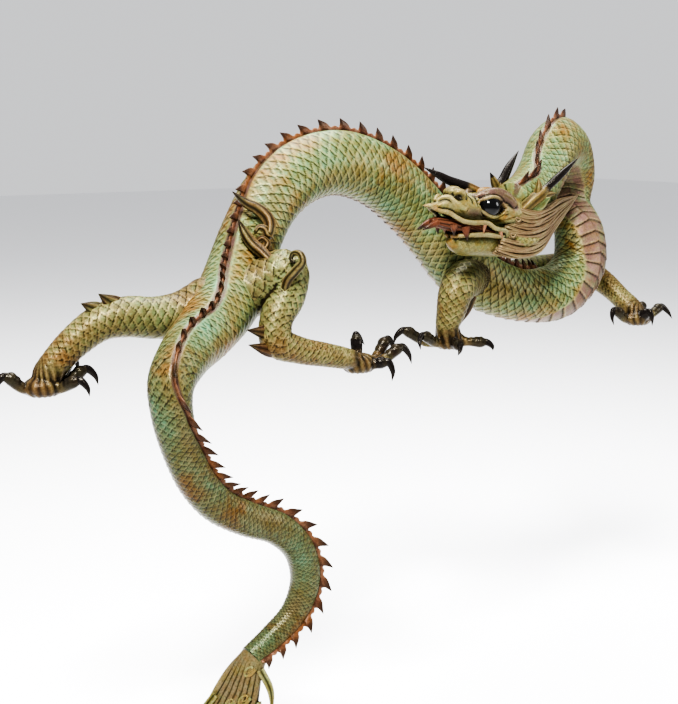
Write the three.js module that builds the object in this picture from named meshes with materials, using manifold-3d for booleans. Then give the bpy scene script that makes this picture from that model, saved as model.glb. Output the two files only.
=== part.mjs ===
// A long scaled dragon in one bronze casting, climbing on four clawed feet, with two inset glass eyes
import * as THREE from 'three';
import { mergeVertices } from 'three/addons/utils/BufferGeometryUtils.js';
import Module from 'manifold-3d';

// Driving sizes, in millimetres
const LENGTH = 1280; // outer hind toe to outer fore claw, which the whole pose is a share of
const SPIKE_PITCH = 25; // along the back
const SPIKE_HEIGHT = 18;
const SPIKE_BASE = 16; // along the back
const SPIKE_WIDTH = 6;
const SPIKE_HOOK = 0.5; // how far the tip leans to the tail, as a share of the base
const SPIKE_SINK = 11; // of its root into the back's ridge
const EYE_DIAMETER = 38;
const EYE_GAP = 0.3; // between the glass and its socket
const TOE_RADIUS = 9;
const CLAW_RADIUS = 5.4; // at its root
const PALM_LENGTH = 56;
const PALM_WIDTH = 46;
const PALM_HEIGHT = 34;
const PALM_SINK = 5; // cut off flat below, to give a level sole
const SOLE_FRONT = -94; // how far forward the level that the soles rest on reaches
const RIDGE = 0.13; // height of the back's ridge, as a share of the body's radius
const BELLY = 0.07; // how much flatter the belly is, as the same share

const BODY_SIDES = 12;
const LIMB_SIDES = 8;
const SMALL_SIDES = 5;
const SPIKE_SIDES = 4;
const LIMB_RINGS = 1.5; // for each point of a limb's line
const RING_PITCH = 36; // between the body's cross-sections
const POINT_RADIUS = 1; // below this, a taper ends in one point

const TOE_NARROWS = 0.85; // its radius over the sole and the knuckle, as a share of that at the root
const TOE_BENDS = 0.55; // where it lies on the sole and where the claw curves over, as shares of each stretch
const SPUR_RADII = [13, 10, 0];
const SPUR_FLAT = 0.5; // its thickness, as a share of its width
const LOCK_FLAT = 0.6;

// The pose is drawn on a grid of 1280 units, and scaled to the length
const SHARE = LENGTH / 1280;
const at = (x, y, z) => new THREE.Vector3(x, y, z).multiplyScalar(SHARE);

// The body's middle line from tail fin to nape: place, radius, and the way that the back faces
const SPINE = [
  [-453, -129, -373, 17, [0.16, -0.98, -0.13]],
  [-417, -126, -353, 18, [0.29, -0.89, -0.36]],
  [-381, -125, -325, 19, [0.48, -0.8, -0.35]],
  [-362, -125, -280, 21, [0.7, -0.71, -0.07]],
  [-373, -126, -231, 22, [0.72, -0.59, 0.38]],
  [-409, -127, -194, 23, [0.56, -0.31, 0.77]],
  [-457, -128, -171, 24, [0.48, -0.21, 0.85]],
  [-502, -129, -142, 25, [0.61, -0.41, 0.68]],
  [-531, -130, -106, 26, [0.68, -0.61, 0.4]],
  [-554, -131, -56, 26, [0.65, -0.73, 0.22]],
  [-566, -132, -10, 27, [0.32, -0.94, 0.1]],
  [-563, -125, 29, 30, [-0.2, -0.75, 0.63]],
  [-525, -88, 56, 35, [-0.11, -0.41, 0.9]],
  [-465, -40, 80, 42, [-0.01, -0.54, 0.84]],
  [-404, 5, 117, 48, [-0.42, -0.46, 0.78]],
  [-337, 52, 202, 46, [-0.64, -0.34, 0.69]],
  [-295, 68, 249, 47, [-0.62, -0.09, 0.78]],
  [-237, 80, 284, 48, [-0.36, 0.04, 0.93]],
  [-167, 86, 297, 49, [0.08, -0.15, 0.99]],
  [-84, 90, 273, 49, [0.41, -0.37, 0.84]],
  [-21, 88, 227, 49, [0.55, -0.48, 0.68]],
  [26, 76, 173, 48, [0.59, -0.52, 0.62]],
  [70, 60, 118, 49, [0.5, -0.47, 0.73]],
  [127, 45, 83, 46, [0.32, -0.32, 0.89]],
  [190, 33, 65, 44, [0.07, -0.03, 1]],
  [261, 24, 69, 47, [-0.25, 0.7, 0.67]],
  [309, 23, 113, 46, [-0.16, 0.99, 0]],
  [318, 34, 168, 43, [0.07, 0.96, -0.26]],
  [314, 58, 218, 37, [0.54, 0.81, -0.22]],
  [318, 62, 271, 42, [0.77, 0.53, 0.36]],
  [283, 43, 317, 44, [0.35, 0.23, 0.91]],
  [231, 16, 317, 43, [-0.3, -0.15, 0.94]],
  [188, -4, 279, 40, [-0.54, -0.3, 0.79]],
  [152, -18, 250, 40, [-0.25, -0.56, 0.79]],
  [96, -34, 228, 38, [-0.19, -0.51, 0.84]],
];

// Each leg's middle line with its radii, its palm, its toes (knuckle and claw tip) and its spurs
const LEGS = {
  fore_right: {
    line: [
      [86, 45, 108, 34], [33, 10, 107, 31], [4, -6, 90, 27],
      [-6, -8, 61, 23], [-10, -5, 37, 19], [-4, -1, 18, 21], [0, 0, 8, 14],
    ],
    palm: [0, 0],
    toes: [
      [[-72, 25, 31], [-92, 30, 12]], [[-58, -6, 26], [-76, -20, 8]],
      [[-16, -42, 12], [-34, -62, 1]], [[40, -36, 11], [40, -60, 1]],
    ],
    spurs: [[[40, -2, 84], [28, -4, 60], [14, -2, 34]]],
  },
  fore_left: {
    line: [
      [150, 82, 86, 34], [230, 100, 88, 33], [306, 105, 94, 31], [388, 98, 96, 25],
      [412, 65, 74, 21], [424, 30, 47, 18], [432, 2, 22, 20], [434, -6, 10, 12],
    ],
    palm: [434, -6],
    toes: [
      [[505, 5, 24], [523, -10, 3]], [[430, -32, 25], [431, -44, 3]],
      [[383, 0, 28], [373, -6, 4]], [[498, 42, 24], [516, 50, 3]],
    ],
    spurs: [[[362, 96, 110], [352, 118, 112], [330, 142, 104]]],
  },
  hind_right: {
    line: [
      [-397, 0, 117, 42], [-366, -22, 134, 36], [-338, -42, 152, 32], [-345, -54, 120, 27],
      [-369, -66, 89, 23], [-372, -72, 60, 23], [-339, -76, 44, 19], [-296, -79, 33, 17],
      [-254, -80, 22, 15], [-236, -77, 15, 13],
    ],
    palm: [-232, -74],
    toes: [
      [[-223, -52, 46], [-206, -50, 34]], [[-166, -50, 36], [-150, -53, 14]],
      [[-160, -76, 28], [-141, -82, 3]], [[-205, -100, 15], [-198, -110, -12]],
    ],
    spurs: [
      [[-360, -66, 74], [-388, -72, 74], [-424, -78, 81]],
      [[-360, -70, 52], [-386, -76, 50], [-424, -82, 61]],
    ],
  },
  hind_left: {
    line: [
      [-440, 4, 109, 38], [-478, 10, 97, 32], [-517, 16, 94, 29], [-555, 22, 98, 28],
      [-591, 28, 93, 25], [-628, 32, 70, 22], [-655, 34, 45, 20], [-671, 34, 24, 20], [-676, 33, 10, 12],
    ],
    palm: [-676, 32],
    toes: [
      [[-724, 35, 29], [-742, 34, 8]], [[-622, 26, 29], [-603, 20, 8]],
      [[-644, -4, 22], [-632, -20, 3]], [[-630, 54, 39], [-617, 56, 22]],
    ],
    spurs: [
      [[-562, 22, 108], [-580, 20, 120], [-599, 18, 134]],
      [[-586, 28, 98], [-602, 26, 112], [-622, 24, 122]],
    ],
  },
};

// The head's own axes at the nape: forwards, to its left, and up
const HEAD_PLACE = at(86, -36, 225);
const HEAD_FORWARD = new THREE.Vector3(-0.987, -0.013, 0.158);
const HEAD_UP = new THREE.Vector3(0.158, -0.015, 0.987);

// Lofts of the head: forwards, up, half width, half height
const SKULL = [
  [-34, -18, 30, 28], [-12, -13, 37, 32], [14, -9, 40, 31], [40, -6, 37, 29], [62, -7, 31, 26],
  [84, -8, 30, 23], [104, -9, 28, 22], [122, -9, 25, 19], [138, -10, 18, 13], [150, -13, 11, 7],
  [160, -15, 5, 3],
];
const JAW = [
  [-18, -48, 29, 24], [14, -54, 30, 24], [40, -58, 28, 23], [64, -62, 25, 21],
  [86, -66, 21, 18], [104, -64, 15, 13], [114, -61, 7, 7],
];
const TONGUE = [
  [20, -42, 18, 10], [60, -42, 22, 11], [96, -40, 24, 11], [124, -38, 21, 10], [144, -37, 13, 8],
  [155, -37, 5, 4],
];

// Features on both sides of the head: forwards, aside, up, radius
const LIP = [
  [27, 36, -43, 4], [30, 37, -37, 5], [40, 37, -35, 5], [54, 36, -34, 5], [68, 34, -28, 5], [83, 33, -29, 5],
  [98, 31, -31, 5], [115, 28, -30, 5], [126, 24, -26, 5], [137, 18, -21, 5], [149, 11, -20, 4],
  [161, 3, -16, 3],
];
const BROW = [
  [82, 14, 12, 4], [70, 20, 16, 6], [57, 24, 20, 7], [44, 27, 18, 8], [31, 31, 14, 7], [21, 34, 6, 5],
];
const EAR = [[-14, 32, 1, 9], [-28, 42, 15, 9], [-40, 50, 27, 0]];
const CHEEK = [[14, 34, -46, 9], [-10, 42, -48, 9], [-36, 48, -40, 0]];
const TEETH = [
  [[124, 19, -38, 7], [123, 20, -46, 4], [121, 20, -55, 0]],
  [[104, 23, -38, 8], [101, 24, -48, 5], [96, 24, -60, 0]],
  [[74, 33, -31, 4], [73, 33, -45, 0]],
  [[42, 36, -37, 4], [32, 35, -53, 0]],
];
const NOSTRIL = { place: [116, 13, 7], radii: [13, 10, 12] };
const NOSE = { place: [118, 0, 12], radii: [14, 11, 10] };
const EYE_PLACE = [62, 23, -2];

// Antlers and the far whisker differ from side to side, as on the work
const HORNS = [
  [[-4, 28, 0, 8], [-16, 34, 16, 8], [-30, 39, 32, 8], [-48, 43, 52, 6], [-66, 47, 73, 5], [-87, 50, 95, 0]],
  [[-26, 37, 32, 6], [-23, 38, 42, 4], [-21, 38, 53, 0]],
  [[-34, 40, 32, 6], [-44, 42, 35, 5], [-55, 44, 37, 0]],
  [[8, -26, 20, 9], [2, -28, 34, 8], [-6, -30, 46, 7], [-18, -34, 67, 5], [-36, -38, 95, 0]],
  [[4, -28, 30, 7], [14, -28, 40, 5], [25, -28, 50, 0]],
  [
    [52, -18, 20, 7], [68, -25, 24, 7], [84, -31, 27, 7], [101, -38, 31, 6], [117, -46, 37, 5],
    [138, -57, 45, 0],
  ],
];

// Mane: upper and lower edge of each side's sheet of locks, and the point where the locks meet
const MANES = [
  {
    top: [[70, -62, 232], [102, -73, 222], [139, -70, 230], [182, -55, 238]],
    bottom: [[34, -66, 160], [72, -76, 152], [118, -73, 157], [166, -60, 190]],
    tip: [240, -36, 241],
  },
  {
    top: [[80, -8, 228], [98, 0, 218], [118, 2, 216], [134, 3, 214]],
    bottom: [[44, -10, 164], [66, -2, 158], [94, 2, 166], [116, 3, 184]],
    tip: [150, 4, 200],
  },
];
const MANE_LOCKS = 4;
const LOCK_RADII = [14, 15, 14, 10, 0];

// Flame curls on the hip and the knee
const FLAMES = [
  [[-392, -8, 182, 8], [-364, -10, 196, 12], [-348, -3, 220, 11], [-357, 8, 242, 9], [-392, 16, 264, 0]],
  [[-368, -30, 160, 8], [-373, -18, 183, 9], [-385, -8, 204, 7], [-398, 2, 222, 0]],
  [[-342, -70, 112, 6], [-349, -76, 136, 8], [-355, -68, 158, 7], [-368, -52, 174, 0]],
];

// Tail fin: place, half width, half thickness; and its flame points
const FIN_ACROSS = new THREE.Vector3(0.66, -0.68, 0.29);
const FIN = [
  [-440, -128, -364, 17, 17], [-462, -131, -392, 25, 14], [-480, -132, -431, 34, 12],
  [-500, -132, -470, 36, 9], [-516, -131, -508, 24, 6], [-530, -129, -556, 0, 0],
];
const FIN_POINTS = [
  [[-450, -150, -385, 7], [-444, -166, -410, 6], [-446, -174, -444, 0]],
  [[-460, -156, -428, 7], [-462, -168, -466, 6], [-472, -172, -502, 0]],
  [[-500, -112, -424, 7], [-520, -104, -452, 6], [-538, -98, -488, 0]],
];

const wasm = await Module();
wasm.setup();

/** A closed geometry through rings of points; a ring of one point is an end point. */
function loft(rings) {
  const positions = rings.flat().flatMap((point) => point.toArray());
  const starts = rings.map((_, i) => rings.slice(0, i).reduce((sum, ring) => sum + ring.length, 0));
  const faces = [];
  for (let i = 0; i + 1 < rings.length; i++) {
    const [count, next] = [rings[i].length, rings[i + 1].length];
    for (let k = 0; k < Math.max(count, next); k++) {
      const [a, b] = [starts[i] + (k % count), starts[i] + ((k + 1) % count)];
      const [c, d] = [starts[i + 1] + (k % next), starts[i + 1] + ((k + 1) % next)];
      if (count > 1) faces.push([a, b, c]);
      if (next > 1) faces.push([count > 1 ? b : a, d, c]);
    }
  }
  const last = rings.length - 1;
  for (let k = 1; k + 1 < rings[0].length; k++) faces.push([starts[0], starts[0] + k + 1, starts[0] + k]);
  for (let k = 1; k + 1 < rings[last].length; k++) {
    faces.push([starts[last], starts[last] + k, starts[last] + k + 1]);
  }
  const geometry = new THREE.BufferGeometry();
  geometry.setAttribute('position', new THREE.Float32BufferAttribute(positions, 3));
  geometry.setIndex(outward(positions, faces).flat());
  return geometry;
}

/** The faces turned so that they enclose a positive volume. */
function outward(positions, faces) {
  const point = (i) => new THREE.Vector3().fromArray(positions, 3 * i);
  const volume = faces.reduce((sum, [a, b, c]) => sum + point(a).dot(point(b).cross(point(c))), 0);
  return volume > 0 ? faces : faces.map(([a, b, c]) => [a, c, b]);
}

/** Cross-sections along a smooth line: each stop has a place, a half width and a half height. */
function sweep(stops, sides, count, outline = () => 1) {
  const line = new THREE.CatmullRomCurve3(stops.map((stop) => stop.place), false, 'centripetal');
  const sizes = new THREE.CatmullRomCurve3(stops.map((stop) => new THREE.Vector3(stop.wide, stop.high, 0)));
  const rings = [];
  let up = null;
  for (let i = 0; i <= count; i++) {
    const t = line.getUtoTmapping(i / count);
    const place = line.getPoint(t);
    const along = line.getTangent(t);
    const span = t * (stops.length - 1);
    const stop = Math.min(Math.floor(span), stops.length - 2);
    const guide = up && !stops[0].up
      ? up.clone()
      : stops[stop].up?.clone().lerp(stops[stop + 1].up, span - stop) ?? steadyUp(along);
    up = guide.addScaledVector(along, -guide.dot(along)).normalize();
    const across = new THREE.Vector3().crossVectors(along, up);
    const size = sizes.getPoint(t);
    if (Math.max(size.x, size.y) < POINT_RADIUS * SHARE) {
      rings.push([place]);
      continue;
    }
    rings.push(Array.from({ length: sides }, (_, k) => {
      const turn = (2 * Math.PI * k) / sides;
      const reach = outline(turn);
      return place.clone()
        .addScaledVector(up, size.y * reach * Math.cos(turn))
        .addScaledVector(across, size.x * reach * Math.sin(turn));
    }));
  }
  return loft(rings);
}

/** A direction square to the line to start its sections from. */
function steadyUp(along) {
  return Math.abs(along.z) < 0.9 ? new THREE.Vector3(0, 0, 1) : new THREE.Vector3(0, 1, 0);
}

/** A round taper through points that carry their radius last. */
function taper(points, sides, count, place = at) {
  const stops = points.map(([x, y, z, radius]) => ({
    place: place(x, y, z), wide: radius * SHARE, high: radius * SHARE,
  }));
  return sweep(stops, sides, count);
}

/** An ellipsoid about a point. */
function ellipsoid(centre, radii, columns = 8, rows = 5) {
  const geometry = new THREE.SphereGeometry(1, columns, rows);
  geometry.scale(...radii);
  geometry.translate(...centre.toArray());
  return geometry;
}

/** A solid for joining and cutting, from a closed geometry. */
function solid(geometry) {
  const bare = geometry.clone();
  bare.deleteAttribute('normal');
  bare.deleteAttribute('uv');
  const merged = mergeVertices(bare, 1e-4);
  return new wasm.Manifold(new wasm.Mesh({
    numProp: 3,
    vertProperties: new Float32Array(merged.attributes.position.array),
    triVerts: new Uint32Array(merged.index.array),
  }));
}

/** One solid from many, joined two by two. */
function join(geometries) {
  let solids = geometries.map(solid);
  while (solids.length > 1) {
    const pairs = [];
    for (let i = 0; i < solids.length; i += 2) {
      pairs.push(i + 1 < solids.length ? solids[i].add(solids[i + 1]) : solids[i]);
    }
    solids = pairs;
  }
  return solids[0];
}

/** A geometry from a solid. */
function geometryOf(manifold) {
  const mesh = manifold.getMesh();
  const geometry = new THREE.BufferGeometry();
  geometry.setAttribute('position', new THREE.Float32BufferAttribute(mesh.vertProperties, 3));
  geometry.setIndex(Array.from(mesh.triVerts));
  geometry.computeVertexNormals();
  return geometry;
}

const spineStops = SPINE.map(([x, y, z, radius, back]) => ({
  place: at(x, y, z), wide: radius * SHARE, high: radius * SHARE, up: new THREE.Vector3(...back),
}));
const spineLine = new THREE.CatmullRomCurve3(spineStops.map((stop) => stop.place), false, 'centripetal');

/** The body's outline: a ridge along the back and a flatter belly. */
function bodyOutline(turn) {
  const back = Math.cos(turn);
  return back > 0 ? 1 + RIDGE * back ** 8 : 1 - BELLY * back ** 2;
}

function body() {
  const count = Math.round(spineLine.getLength() / (RING_PITCH * SHARE));
  return sweep(spineStops, BODY_SIDES, count, bodyOutline);
}

/** One hooked spike of the crest, at a share of the body's length. */
function spike(share) {
  const t = spineLine.getUtoTmapping(share);
  const along = spineLine.getTangent(t);
  const span = t * (SPINE.length - 1);
  const stop = Math.min(Math.floor(span), SPINE.length - 2);
  const [here, next] = [spineStops[stop], spineStops[stop + 1]];
  const up = here.up.clone().lerp(next.up, span - stop);
  up.addScaledVector(along, -up.dot(along)).normalize();
  const across = new THREE.Vector3().crossVectors(along, up);
  const radius = THREE.MathUtils.lerp(here.wide, next.wide, span - stop);
  const foot = spineLine.getPoint(t).addScaledVector(up, radius * (1 + RIDGE) - SPIKE_SINK);
  const section = Array.from({ length: SPIKE_SIDES }, (_, k) => {
    const turn = (2 * Math.PI * k) / SPIKE_SIDES;
    return foot.clone()
      .addScaledVector(along, (Math.cos(turn) * SPIKE_BASE) / 2)
      .addScaledVector(across, (Math.sin(turn) * SPIKE_WIDTH) / 2);
  });
  const tip = foot.clone()
    .addScaledVector(up, SPIKE_HEIGHT + SPIKE_SINK)
    .addScaledVector(along, -SPIKE_BASE * SPIKE_HOOK);
  return loft([section, [tip]]);
}

function crest() {
  const count = Math.floor(spineLine.getLength() / SPIKE_PITCH);
  return Array.from({ length: count - 1 }, (_, i) => spike((i + 1) / count));
}

/** A toe from the palm over its knuckle, and the hooked claw on it. */
function toe(palm, [knuckle, tip]) {
  const root = at(palm[0], palm[1], PALM_HEIGHT / 3);
  const [bend, end] = [at(...knuckle), at(...tip)];
  const sole = root.clone().lerp(bend, TOE_BENDS);
  sole.z = Math.min(sole.z, root.z);
  const out = bend.clone().sub(root).normalize();
  const hook = bend.clone().lerp(end, TOE_BENDS).addScaledVector(out, CLAW_RADIUS);
  const stops = [
    { place: root, wide: TOE_RADIUS },
    { place: sole, wide: TOE_RADIUS * TOE_NARROWS },
    { place: bend, wide: TOE_RADIUS * TOE_NARROWS },
    { place: hook, wide: CLAW_RADIUS },
    { place: end, wide: 0 },
  ];
  return sweep(stops.map((stop) => ({ ...stop, high: stop.wide })), SMALL_SIDES, 5);
}

/** A spur through its three points, flat from side to side. */
function spur(points) {
  const stops = points.map((point, i) => ({
    place: at(...point), wide: SPUR_RADII[i] * SPUR_FLAT * SHARE, high: SPUR_RADII[i] * SHARE,
  }));
  return sweep(stops, SMALL_SIDES, 3);
}

function leg({ line, palm, toes, spurs }) {
  const pad = ellipsoid(
    at(palm[0], palm[1], 0).setZ(PALM_HEIGHT / 2 - PALM_SINK),
    [PALM_LENGTH / 2, PALM_WIDTH / 2, PALM_HEIGHT / 2],
  );
  return [
    taper(line, LIMB_SIDES, Math.round(line.length * LIMB_RINGS)),
    pad,
    ...toes.map((points) => toe(palm, points)),
    ...spurs.map(spur),
  ];
}

const headFrame = new THREE.Matrix4().makeBasis(
  HEAD_FORWARD,
  new THREE.Vector3().crossVectors(HEAD_UP, HEAD_FORWARD),
  HEAD_UP,
).setPosition(HEAD_PLACE);
const inHead = (forwards, aside, up) => at(forwards, aside, up).applyMatrix4(headFrame);

/** A loft along the middle of the head. */
function headLoft(sections, sides) {
  const stops = sections.map(([forwards, up, wide, high]) => ({
    place: inHead(forwards, 0, up), wide: wide * SHARE, high: high * SHARE, up: HEAD_UP,
  }));
  return sweep(stops, sides, sections.length);
}

/** The same points on the head's left and right. */
function bothSides(points) {
  return [1, -1].map((side) => points.map(([forwards, aside, ...rest]) => [forwards, aside * side, ...rest]));
}

function head() {
  const bulb = ({ place: [f, aside, up], radii }) => [1, -1].slice(0, aside ? 2 : 1).map((side) => {
    const geometry = ellipsoid(at(f, aside * side, up), radii.map((radius) => radius * SHARE));
    return geometry.applyMatrix4(headFrame);
  });
  return [
    headLoft(SKULL, BODY_SIDES),
    headLoft(JAW, LIMB_SIDES),
    headLoft(TONGUE, SMALL_SIDES),
    ...bulb(NOSTRIL),
    ...bulb(NOSE),
    ...bothSides(LIP).map((points) => taper(points, SMALL_SIDES, 7, inHead)),
    ...bothSides(BROW).map((points) => taper(points, SMALL_SIDES, 5, inHead)),
    ...bothSides(EAR).map((points) => taper(points, SMALL_SIDES, 3, inHead)),
    ...bothSides(CHEEK).map((points) => taper(points, SMALL_SIDES, 3, inHead)),
    ...TEETH.flatMap(bothSides).map((points) => taper(points, SPIKE_SIDES, points.length - 1, inHead)),
    ...HORNS.map((points) => taper(points, SMALL_SIDES, points.length, inHead)),
  ];
}

/** The locks of one side's mane, fanned between its edges and meeting at its tip. */
function mane({ top, bottom, tip }) {
  return Array.from({ length: MANE_LOCKS }, (_, k) => {
    const share = k / (MANE_LOCKS - 1);
    const stops = [...top.map((point, i) => at(...point).lerp(at(...bottom[i]), share)), at(...tip)];
    return sweep(stops.map((place, i) => ({
      place, wide: LOCK_RADII[i] * SHARE * LOCK_FLAT, high: LOCK_RADII[i] * SHARE,
    })), SMALL_SIDES, 6);
  });
}

function fin() {
  const stops = FIN.map(([x, y, z, wide, thick]) => ({
    place: at(x, y, z), wide: thick * SHARE, high: wide * SHARE, up: FIN_ACROSS,
  }));
  return [
    sweep(stops, LIMB_SIDES, 8),
    ...FIN_POINTS.map((points) => taper(points, SMALL_SIDES, 3)),
  ];
}

/** The block that levels the soles: all that is below them and behind their front limit. */
function belowSoles() {
  const block = new THREE.BoxGeometry(2 * LENGTH, LENGTH, LENGTH);
  block.translate(0, SOLE_FRONT * SHARE + LENGTH / 2, -LENGTH / 2);
  return block;
}

const eyePlaces = [EYE_PLACE[1], -EYE_PLACE[1]].map((aside) => inHead(EYE_PLACE[0], aside, EYE_PLACE[2]));
const ball = (place, radius) => ellipsoid(place, [radius, radius, radius], 10, 7);

let casting = join([
  body(),
  ...crest(),
  ...Object.values(LEGS).flatMap(leg),
  ...head(),
  ...MANES.flatMap(mane),
  ...FLAMES.map((points) => taper(points, SMALL_SIDES, 6)),
  ...fin(),
]);
casting = casting.subtract(solid(belowSoles()));
for (const place of eyePlaces) casting = casting.subtract(solid(ball(place, EYE_DIAMETER / 2 + EYE_GAP)));

const bronze = new THREE.MeshStandardMaterial({ color: 0x7f8a5a, roughness: 0.45, metalness: 0.6 });
const glass = new THREE.MeshStandardMaterial({ color: 0x0a0a0c, roughness: 0.08, metalness: 0 });

const dragon = new THREE.Group();

function add(name, geometry, material) {
  const mesh = new THREE.Mesh(geometry, material.clone());
  mesh.name = name;
  dragon.add(mesh);
}

add('dragon', geometryOf(casting), bronze);
add('eye_left', ball(eyePlaces[0], EYE_DIAMETER / 2), glass);
add('eye_right', ball(eyePlaces[1], EYE_DIAMETER / 2), glass);

export default dragon;
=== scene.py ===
"""The dragon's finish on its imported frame: scaled skin, crest, clawed legs, head, mane and tail fin."""
import logging
import math
from dataclasses import dataclass, field
from enum import Enum
from typing import Callable, Sequence

import bmesh
import bpy
import numpy as np
from mathutils import Matrix, Vector


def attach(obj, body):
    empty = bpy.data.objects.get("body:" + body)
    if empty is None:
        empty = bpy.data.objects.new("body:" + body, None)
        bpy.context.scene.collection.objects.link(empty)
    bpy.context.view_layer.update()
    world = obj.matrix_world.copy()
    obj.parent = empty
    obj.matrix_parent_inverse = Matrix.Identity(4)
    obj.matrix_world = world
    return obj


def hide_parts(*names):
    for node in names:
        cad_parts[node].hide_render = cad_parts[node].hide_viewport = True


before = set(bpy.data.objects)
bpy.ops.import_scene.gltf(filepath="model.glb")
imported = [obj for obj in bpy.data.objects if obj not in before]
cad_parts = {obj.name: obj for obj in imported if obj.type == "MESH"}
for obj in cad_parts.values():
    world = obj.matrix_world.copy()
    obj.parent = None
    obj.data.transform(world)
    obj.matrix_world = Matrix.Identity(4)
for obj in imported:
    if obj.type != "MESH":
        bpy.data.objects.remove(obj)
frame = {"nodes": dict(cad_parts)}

Array = np.ndarray
Pair = tuple[Array, Array]
Shade = float | Array
Mesh = bpy.types.Mesh
Piece = bpy.types.Object
Socket = bpy.types.NodeSocket
Skin = Callable[[Array, Array, Array], Pair]

LOG = logging.getLogger("dragon")
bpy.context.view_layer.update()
MM = 0.001
# Point colour masks: tint holds groove, rim, zone brown and dark, wash holds ochre and green; besides
# stains and patina they carry painted shade and painted highlight
TINT = "tint"
WASH = "wash"
WELD_GAP = 2e-6
SLIVER_AREA = 1e-14
LINE_SAMPLES = 120
MELT_PASSES = 3
HOLLOW_PASSES = 8
# Depths in millimetres over which hollows darken, patina with painted shade, and raised parts pale, wear
# with painted highlight
HOLLOW_DEPTHS = (0.04, 0.4)
WORN_AND_LIT_HEIGHTS = (0.3, 0.9)

# The body's middle line in millimetres, from tail fin to nape: place, radius and the way the back faces
SPINE = [
    (-453, -129, -373, 17, (0.16, -0.98, -0.13)),
    (-417, -126, -353, 18, (0.29, -0.89, -0.36)),
    (-381, -125, -325, 19, (0.48, -0.8, -0.35)),
    (-362, -125, -280, 21, (0.7, -0.71, -0.07)),
    (-373, -126, -231, 22, (0.72, -0.59, 0.38)),
    (-409, -127, -194, 23, (0.56, -0.31, 0.77)),
    (-457, -128, -171, 24, (0.48, -0.21, 0.85)),
    (-502, -129, -142, 25, (0.61, -0.41, 0.68)),
    (-531, -130, -106, 26, (0.68, -0.61, 0.4)),
    (-554, -131, -56, 26, (0.65, -0.73, 0.22)),
    (-566, -132, -10, 27, (0.32, -0.94, 0.1)),
    (-563, -125, 29, 30, (-0.2, -0.75, 0.63)),
    (-525, -88, 56, 35, (-0.11, -0.41, 0.9)),
    (-465, -40, 80, 42, (-0.01, -0.54, 0.84)),
    (-404, 5, 117, 48, (-0.42, -0.46, 0.78)),
    (-337, 52, 202, 46, (-0.64, -0.34, 0.69)),
    (-295, 68, 249, 47, (-0.62, -0.09, 0.78)),
    (-237, 80, 284, 48, (-0.36, 0.04, 0.93)),
    (-167, 86, 297, 49, (0.08, -0.15, 0.99)),
    (-84, 90, 273, 49, (0.41, -0.37, 0.84)),
    (-21, 88, 227, 49, (0.55, -0.48, 0.68)),
    (26, 76, 173, 48, (0.59, -0.52, 0.62)),
    (70, 60, 118, 49, (0.5, -0.47, 0.73)),
    (127, 45, 83, 46, (0.32, -0.32, 0.89)),
    (190, 33, 65, 44, (0.07, -0.03, 1)),
    (261, 24, 69, 47, (-0.25, 0.7, 0.67)),
    (309, 23, 113, 46, (-0.16, 0.99, 0)),
    (318, 34, 168, 43, (0.07, 0.96, -0.26)),
    (314, 58, 218, 37, (0.54, 0.81, -0.22)),
    (318, 62, 271, 42, (0.77, 0.53, 0.36)),
    (283, 43, 317, 44, (0.35, 0.23, 0.91)),
    (231, 16, 317, 43, (-0.3, -0.15, 0.94)),
    (188, -4, 279, 40, (-0.54, -0.3, 0.79)),
    (152, -18, 250, 40, (-0.25, -0.56, 0.79)),
    (96, -34, 228, 38, (-0.19, -0.51, 0.84)),
]
RIDGE = 0.13
BELLY_FLAT = 0.07


class Zone(Enum):
    """The stretches that the body's skin is made in, by the spine stops that they run between."""

    TAIL = (0, 13)
    TRUNK = (13, 22)
    NECK = (22, 34)


class Look(Enum):
    """The finishes of the work."""

    PATINA = "bronze_patina"
    LIMB = "bronze_limb"
    BROWN = "bronze_brown"
    HAIR = "bronze_mane"
    EYE = "polished_black"


def smoothstep(low: float, high: float, value: Array) -> Array:
    """A soft step from 0 at low to 1 at high."""
    share = np.clip((value - low) / (high - low), 0.0, 1.0)
    return share * share * (3.0 - 2.0 * share)


def bump(centre: float, width: float, value: Array) -> Array:
    """A soft ridge of height 1 about centre."""
    return np.exp(-(((value - centre) / width) ** 2))


def unit(vectors: Array) -> Array:
    """The vectors at length 1."""
    return vectors / np.maximum(np.linalg.norm(vectors, axis=-1, keepdims=True), 1e-12)


def curve_points(points: Array, at: Array, power: float) -> Array:
    """Points of a Catmull-Rom curve.

    Args:
        points: The stops, one row each.
        at: Curve parameter, counted in stops.
        power: 0.5 for a centripetal curve, 0 for an even one.

    Returns:
        One row for each parameter.
    """
    padded = np.vstack([2 * points[0] - points[1], points, 2 * points[-1] - points[-2]])
    gaps = np.maximum(np.linalg.norm(np.diff(padded, axis=0), axis=1), 1e-9) ** power
    start = np.clip(np.floor(at).astype(int), 0, len(points) - 2)
    share = (at - start)[:, None]
    x0, x1, x2, x3 = (padded[start + k] for k in range(4))
    d0, d1, d2 = (gaps[start + k][:, None] for k in range(3))
    leave = ((x1 - x0) / d0 - (x2 - x0) / (d0 + d1) + (x2 - x1) / d1) * d1
    reach = ((x2 - x1) / d1 - (x3 - x1) / (d1 + d2) + (x3 - x2) / d2) * d1
    quad = -3 * x1 + 3 * x2 - 2 * leave - reach
    cube = 2 * x1 - 2 * x2 + leave + reach
    return x1 + leave * share + quad * share**2 + cube * share**3


@dataclass
class Rings:
    """Cross-sections along a line: places and axes, one row each, and half sizes."""

    place: Array
    along: Array
    across: Array
    back: Array
    wide: Array
    high: Array


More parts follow.
